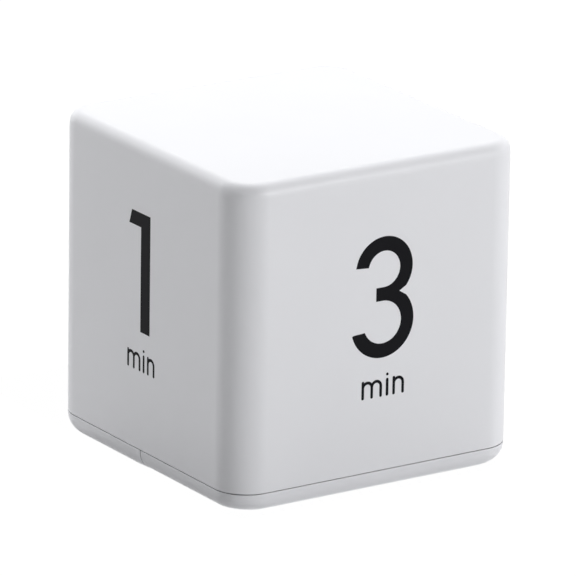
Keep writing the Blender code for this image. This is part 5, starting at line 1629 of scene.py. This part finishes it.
def in_short_pieces(points, most):
    """Return a line's points with further ones between, none further apart than most."""
    fine = points[:1]
    for start, end in zip(points, points[1:]):
        length = (Vector(end) - Vector(start)).length
        count = max(1, ceil(length / most))
        for step in range(1, count + 1):
            fine.append(tuple(Vector(start).lerp(Vector(end), step / count)))
    return fine


def words(text, height, start, foot):
    """Return the shapes of small letters from a start, standing on a foot line."""
    shapes = []
    thick = LETTER_LINE * height
    for letter in text:
        width, lines = STROKES[letter]
        if letter == "O":
            shapes += ring_quads(start + width * height / 2, foot + height / 2,
                                 (width * height + thick) / 2, (height + thick) / 2, thick)
        for line in lines:
            points = [(start + u * height, foot + v * height) for u, v in line]
            shapes += stroke(in_short_pieces(points, thick), thick)
        start += (width + LETTER_GAP) * height
    return shapes


def switch_words(ink):
    """OFF and ON beside the switch, each at its end of the travel."""
    for name, text, start in (("off", "OFF", SWITCH_WORD_OFF), ("on", "ON", SWITCH_WORD_ON)):
        shapes = words(text, SWITCH_WORD_HEIGHT, start, SWITCH_WORD_FOOT)
        add_piece(f"print_{name}", ink_form(shapes, on_display_end), ink)


def segment(start, end):
    """Return the six sided shape of a display segment between two points."""
    start, end = Vector(start), Vector(end)
    along = (end - start).normalized()
    start, end = start + along * SEGMENT_GAP, end - along * SEGMENT_GAP
    side = Vector((-along.y, along.x)) * SEGMENT_LINE / 2
    nose = along * SEGMENT_LINE / 2
    return [tuple(point) for point in (start, start + nose + side, end - nose + side, end,
                                       end - nose - side, start + nose - side)]


def display_figures(ink):
    """Four zeros and a colon on the display."""
    shapes = []
    half_x, half_y = SEGMENT_WIDTH / 2, SEGMENT_HEIGHT / 2
    corners = [(-half_x, half_y), (half_x, half_y), (half_x, 0), (half_x, -half_y),
               (-half_x, -half_y), (-half_x, 0), (-half_x, half_y)]
    for centre in FIGURE_PLACES:
        for start, end in zip(corners, corners[1:]):
            shapes.append([(centre + u + SEGMENT_LEAN * v, v)
                           for u, v in segment(start, end)])
    for v in (-COLON_SHIFT, COLON_SHIFT):
        shapes.append(arc((SEGMENT_LEAN * v, v), COLON_RADIUS, 0, 360)[:-1])

    def on_glass(u, v, depth):
        return (u, DISPLAY_Y - v, SEGMENT_Z + depth * SEGMENT_THICKNESS / INK_THICKNESS)

    add_piece("display_figures", ink_form(shapes, on_glass), ink)


def printed_marks(ink):
    """Minute figures with their words on the four sides."""
    sides = (("three", 0, figure_three() + word_min()),
             ("one", -pi / 2, figure_one(ONE_SHIFT) + word_min(*ONE_WORD_SHIFT)),
             ("five", pi / 2, figure_five() + word_min()),
             ("ten", pi, figure_one(TEN_SHIFTS[0]) + figure_zero(TEN_SHIFTS[1]) + word_min()))
    for name, turn, shapes in sides:
        add_piece(f"print_{name}_min", ink_form(shapes, on_side(turn)), ink)


# Stage

def floor_paper():
    """White paper that keeps the timer's shadow and is clear from below."""
    material = bpy.data.materials.new("floor_paper")
    material.use_nodes = True
    tree = material.node_tree
    tree.nodes.clear()
    output = add_node(tree, "OutputMaterial")
    paper = add_node(tree, "BsdfDiffuse", {"Color": (*[FLOOR_ALBEDO] * 3, 1)}).outputs["BSDF"]
    glow = add_node(tree, "Emission", {"Strength": FLOOR_LEVEL}).outputs["Emission"]
    share = seen_directly(tree, FLOOR_GLOW, FLOOR_GLOSS)
    shown = add_node(tree, "MixShader", None, {0: share, 1: paper, 2: glow}).outputs["Shader"]
    clear = add_node(tree, "BsdfTransparent").outputs["BSDF"]
    back = add_node(tree, "NewGeometry").outputs["Backfacing"]
    below = add_node(tree, "MixShader", None, {0: back, 1: shown, 2: clear})
    tree.links.new(below.outputs["Shader"], output.inputs["Surface"])
    return material


def add_floor():
    """Pale floor, open under the timer and its door so that they can be lit from below."""
    half = HALF_WIDTH - FLOOR_HOLE_INSET
    shift = DOOR_TRAVEL / 2
    hole = outline(half, half + shift, CORNER_RADIUS - FLOOR_HOLE_INSET)
    edge = outline(FLOOR_HALF, FLOOR_HALF, FLOOR_HALF / 4)
    bm = bmesh.new()
    outer = [bm.verts.new((x, y, FLOOR_Z)) for x, y in edge]
    inner = [bm.verts.new((x, y + shift, FLOOR_Z)) for x, y in hole]
    for index in range(len(inner)):
        following = (index + 1) % len(inner)
        bm.faces.new((outer[index], outer[following], inner[following], inner[index]))
    mesh = as_mesh("floor", bm)
    mesh.materials.append(floor_paper())
    as_object("floor", mesh)


def seen_directly(tree, direct, glossy):
    """Return a strength for camera and transmission rays, one for glossy rays, or zero."""
    path = add_node(tree, "LightPath")
    total = None
    for kind, strength in (("Camera", direct), ("Transmission", direct), ("Glossy", glossy)):
        scaled = add_node(tree, "Math", {1: strength, 2: 0},
                          {0: path.outputs[f"Is {kind} Ray"]})
        scaled.operation = "MULTIPLY_ADD"
        scaled.use_clamp = True
        if total is not None:
            tree.links.new(total, scaled.inputs[2])
        total = scaled.outputs["Value"]
    return total


def add_world():
    """White surroundings that add an even light."""
    world = bpy.data.worlds.new("surroundings")
    bpy.context.scene.world = world
    world.use_nodes = True
    tree = world.node_tree
    shade = tree.nodes["Background"]
    shade.inputs["Color"].default_value = (1, 1, 1, 1)
    shown = add_node(tree, "MapRange", {"To Min": AMBIENT, "To Max": 1.0},
                     {"Value": seen_directly(tree, 1.0, 1.0)})
    tree.links.new(shown.outputs["Result"], shade.inputs["Strength"])


def outward(azimuth, elevation):
    """Return the direction away from the timer; azimuth 0 is on the -Y side."""
    return Vector((sin(azimuth) * cos(elevation), -cos(azimuth) * cos(elevation),
                   sin(elevation)))


def add_lamp(name, azimuth, elevation, distance, size, power, sheen):
    """Soft square lamp that faces the timer; with sheen it shows in reflections."""
    data = bpy.data.lights.new(name, "AREA")
    data.shape = "SQUARE"
    data.size = size
    data.energy = power
    away = outward(radians(azimuth), radians(elevation))
    lamp = as_object(name, data)
    lamp.location = TARGET + away * distance
    lamp.rotation_mode = "QUATERNION"
    lamp.rotation_quaternion = away.to_track_quat("Z", "Y")
    lamp.visible_glossy = sheen


def add_camera():
    """Camera at the photograph's viewing angle."""
    back = outward(PHOTO_AZIMUTH, PHOTO_ELEVATION)
    level = (-back).cross(Vector((0, 0, 1))).normalized()
    upright = back.cross(level)
    right = level * cos(PHOTO_ROLL) + upright * sin(PHOTO_ROLL)
    up = upright * cos(PHOTO_ROLL) - level * sin(PHOTO_ROLL)
    data = bpy.data.cameras.new("camera")
    data.sensor_width = SENSOR_WIDTH
    data.lens = FOCAL_SHARE * SENSOR_WIDTH
    data.clip_start = CAMERA_DISTANCE / 100
    data.clip_end = CAMERA_DISTANCE * 100
    camera = as_object("camera", data)
    eye = TARGET + back * CAMERA_DISTANCE + right * CAMERA_SHIFT_RIGHT + up * CAMERA_SHIFT_UP
    pose = Matrix((right, up, back)).transposed().to_4x4()
    camera.matrix_world = Matrix.Translation(eye) @ pose
    bpy.context.scene.camera = camera


def dress():
    """Build every piece and the stage round them."""
    white, black, steel, ink = white_shell(), black_shell(), bright_steel(), printed_ink()
    tin = tinned_copper()
    housing(white)
    end_cover(white)
    sliding_door(white)
    lens(clear_window())
    knob(black)
    both_cells(steel, cell_ink())
    spring("bridge_spring", FRONT_CELL_Y, 1, steel)
    spring("negative_spring", REAR_CELL_Y, -1, steel)
    all_screws(steel)
    for tag in ("a", "b"):
        tilt_can(tag, steel)
        tilt_base(tag, black, tin)
        tilt_ball(tag, steel)
    chip_drop(chip_epoxy())
    crystal_can(steel)
    capacitor(black, steel)
    for index in (1, 2, 3):
        resistor(index, black, tin)
    sounder(rolled_brass(), silvered_ceramic())
    all_leads(insulation("red_lead", (0.55, 0.03, 0.03)),
              insulation("black_lead", (0.025, 0.025, 0.027)), tin)
    repaint(display_back(), "lcd_front_glass", "lcd_rear_glass")
    repaint(striped_rubber(), "zebra_strip")
    repaint(solder_mask(), "circuit_board")
    repaint(steel, "slide_switch_frame", "positive_contact", "negative_contact",
            "bridge_contact")
    repaint(black, "slide_switch_base", "slide_switch_slider")
    printed_marks(ink)
    switch_words(ink)
    display_figures(segment_ink())
    add_floor()
    add_world()
    for lamp in LAMPS:
        add_lamp(*lamp)
    add_camera()
    bpy.context.scene.view_settings.view_transform = "Standard"


dress()
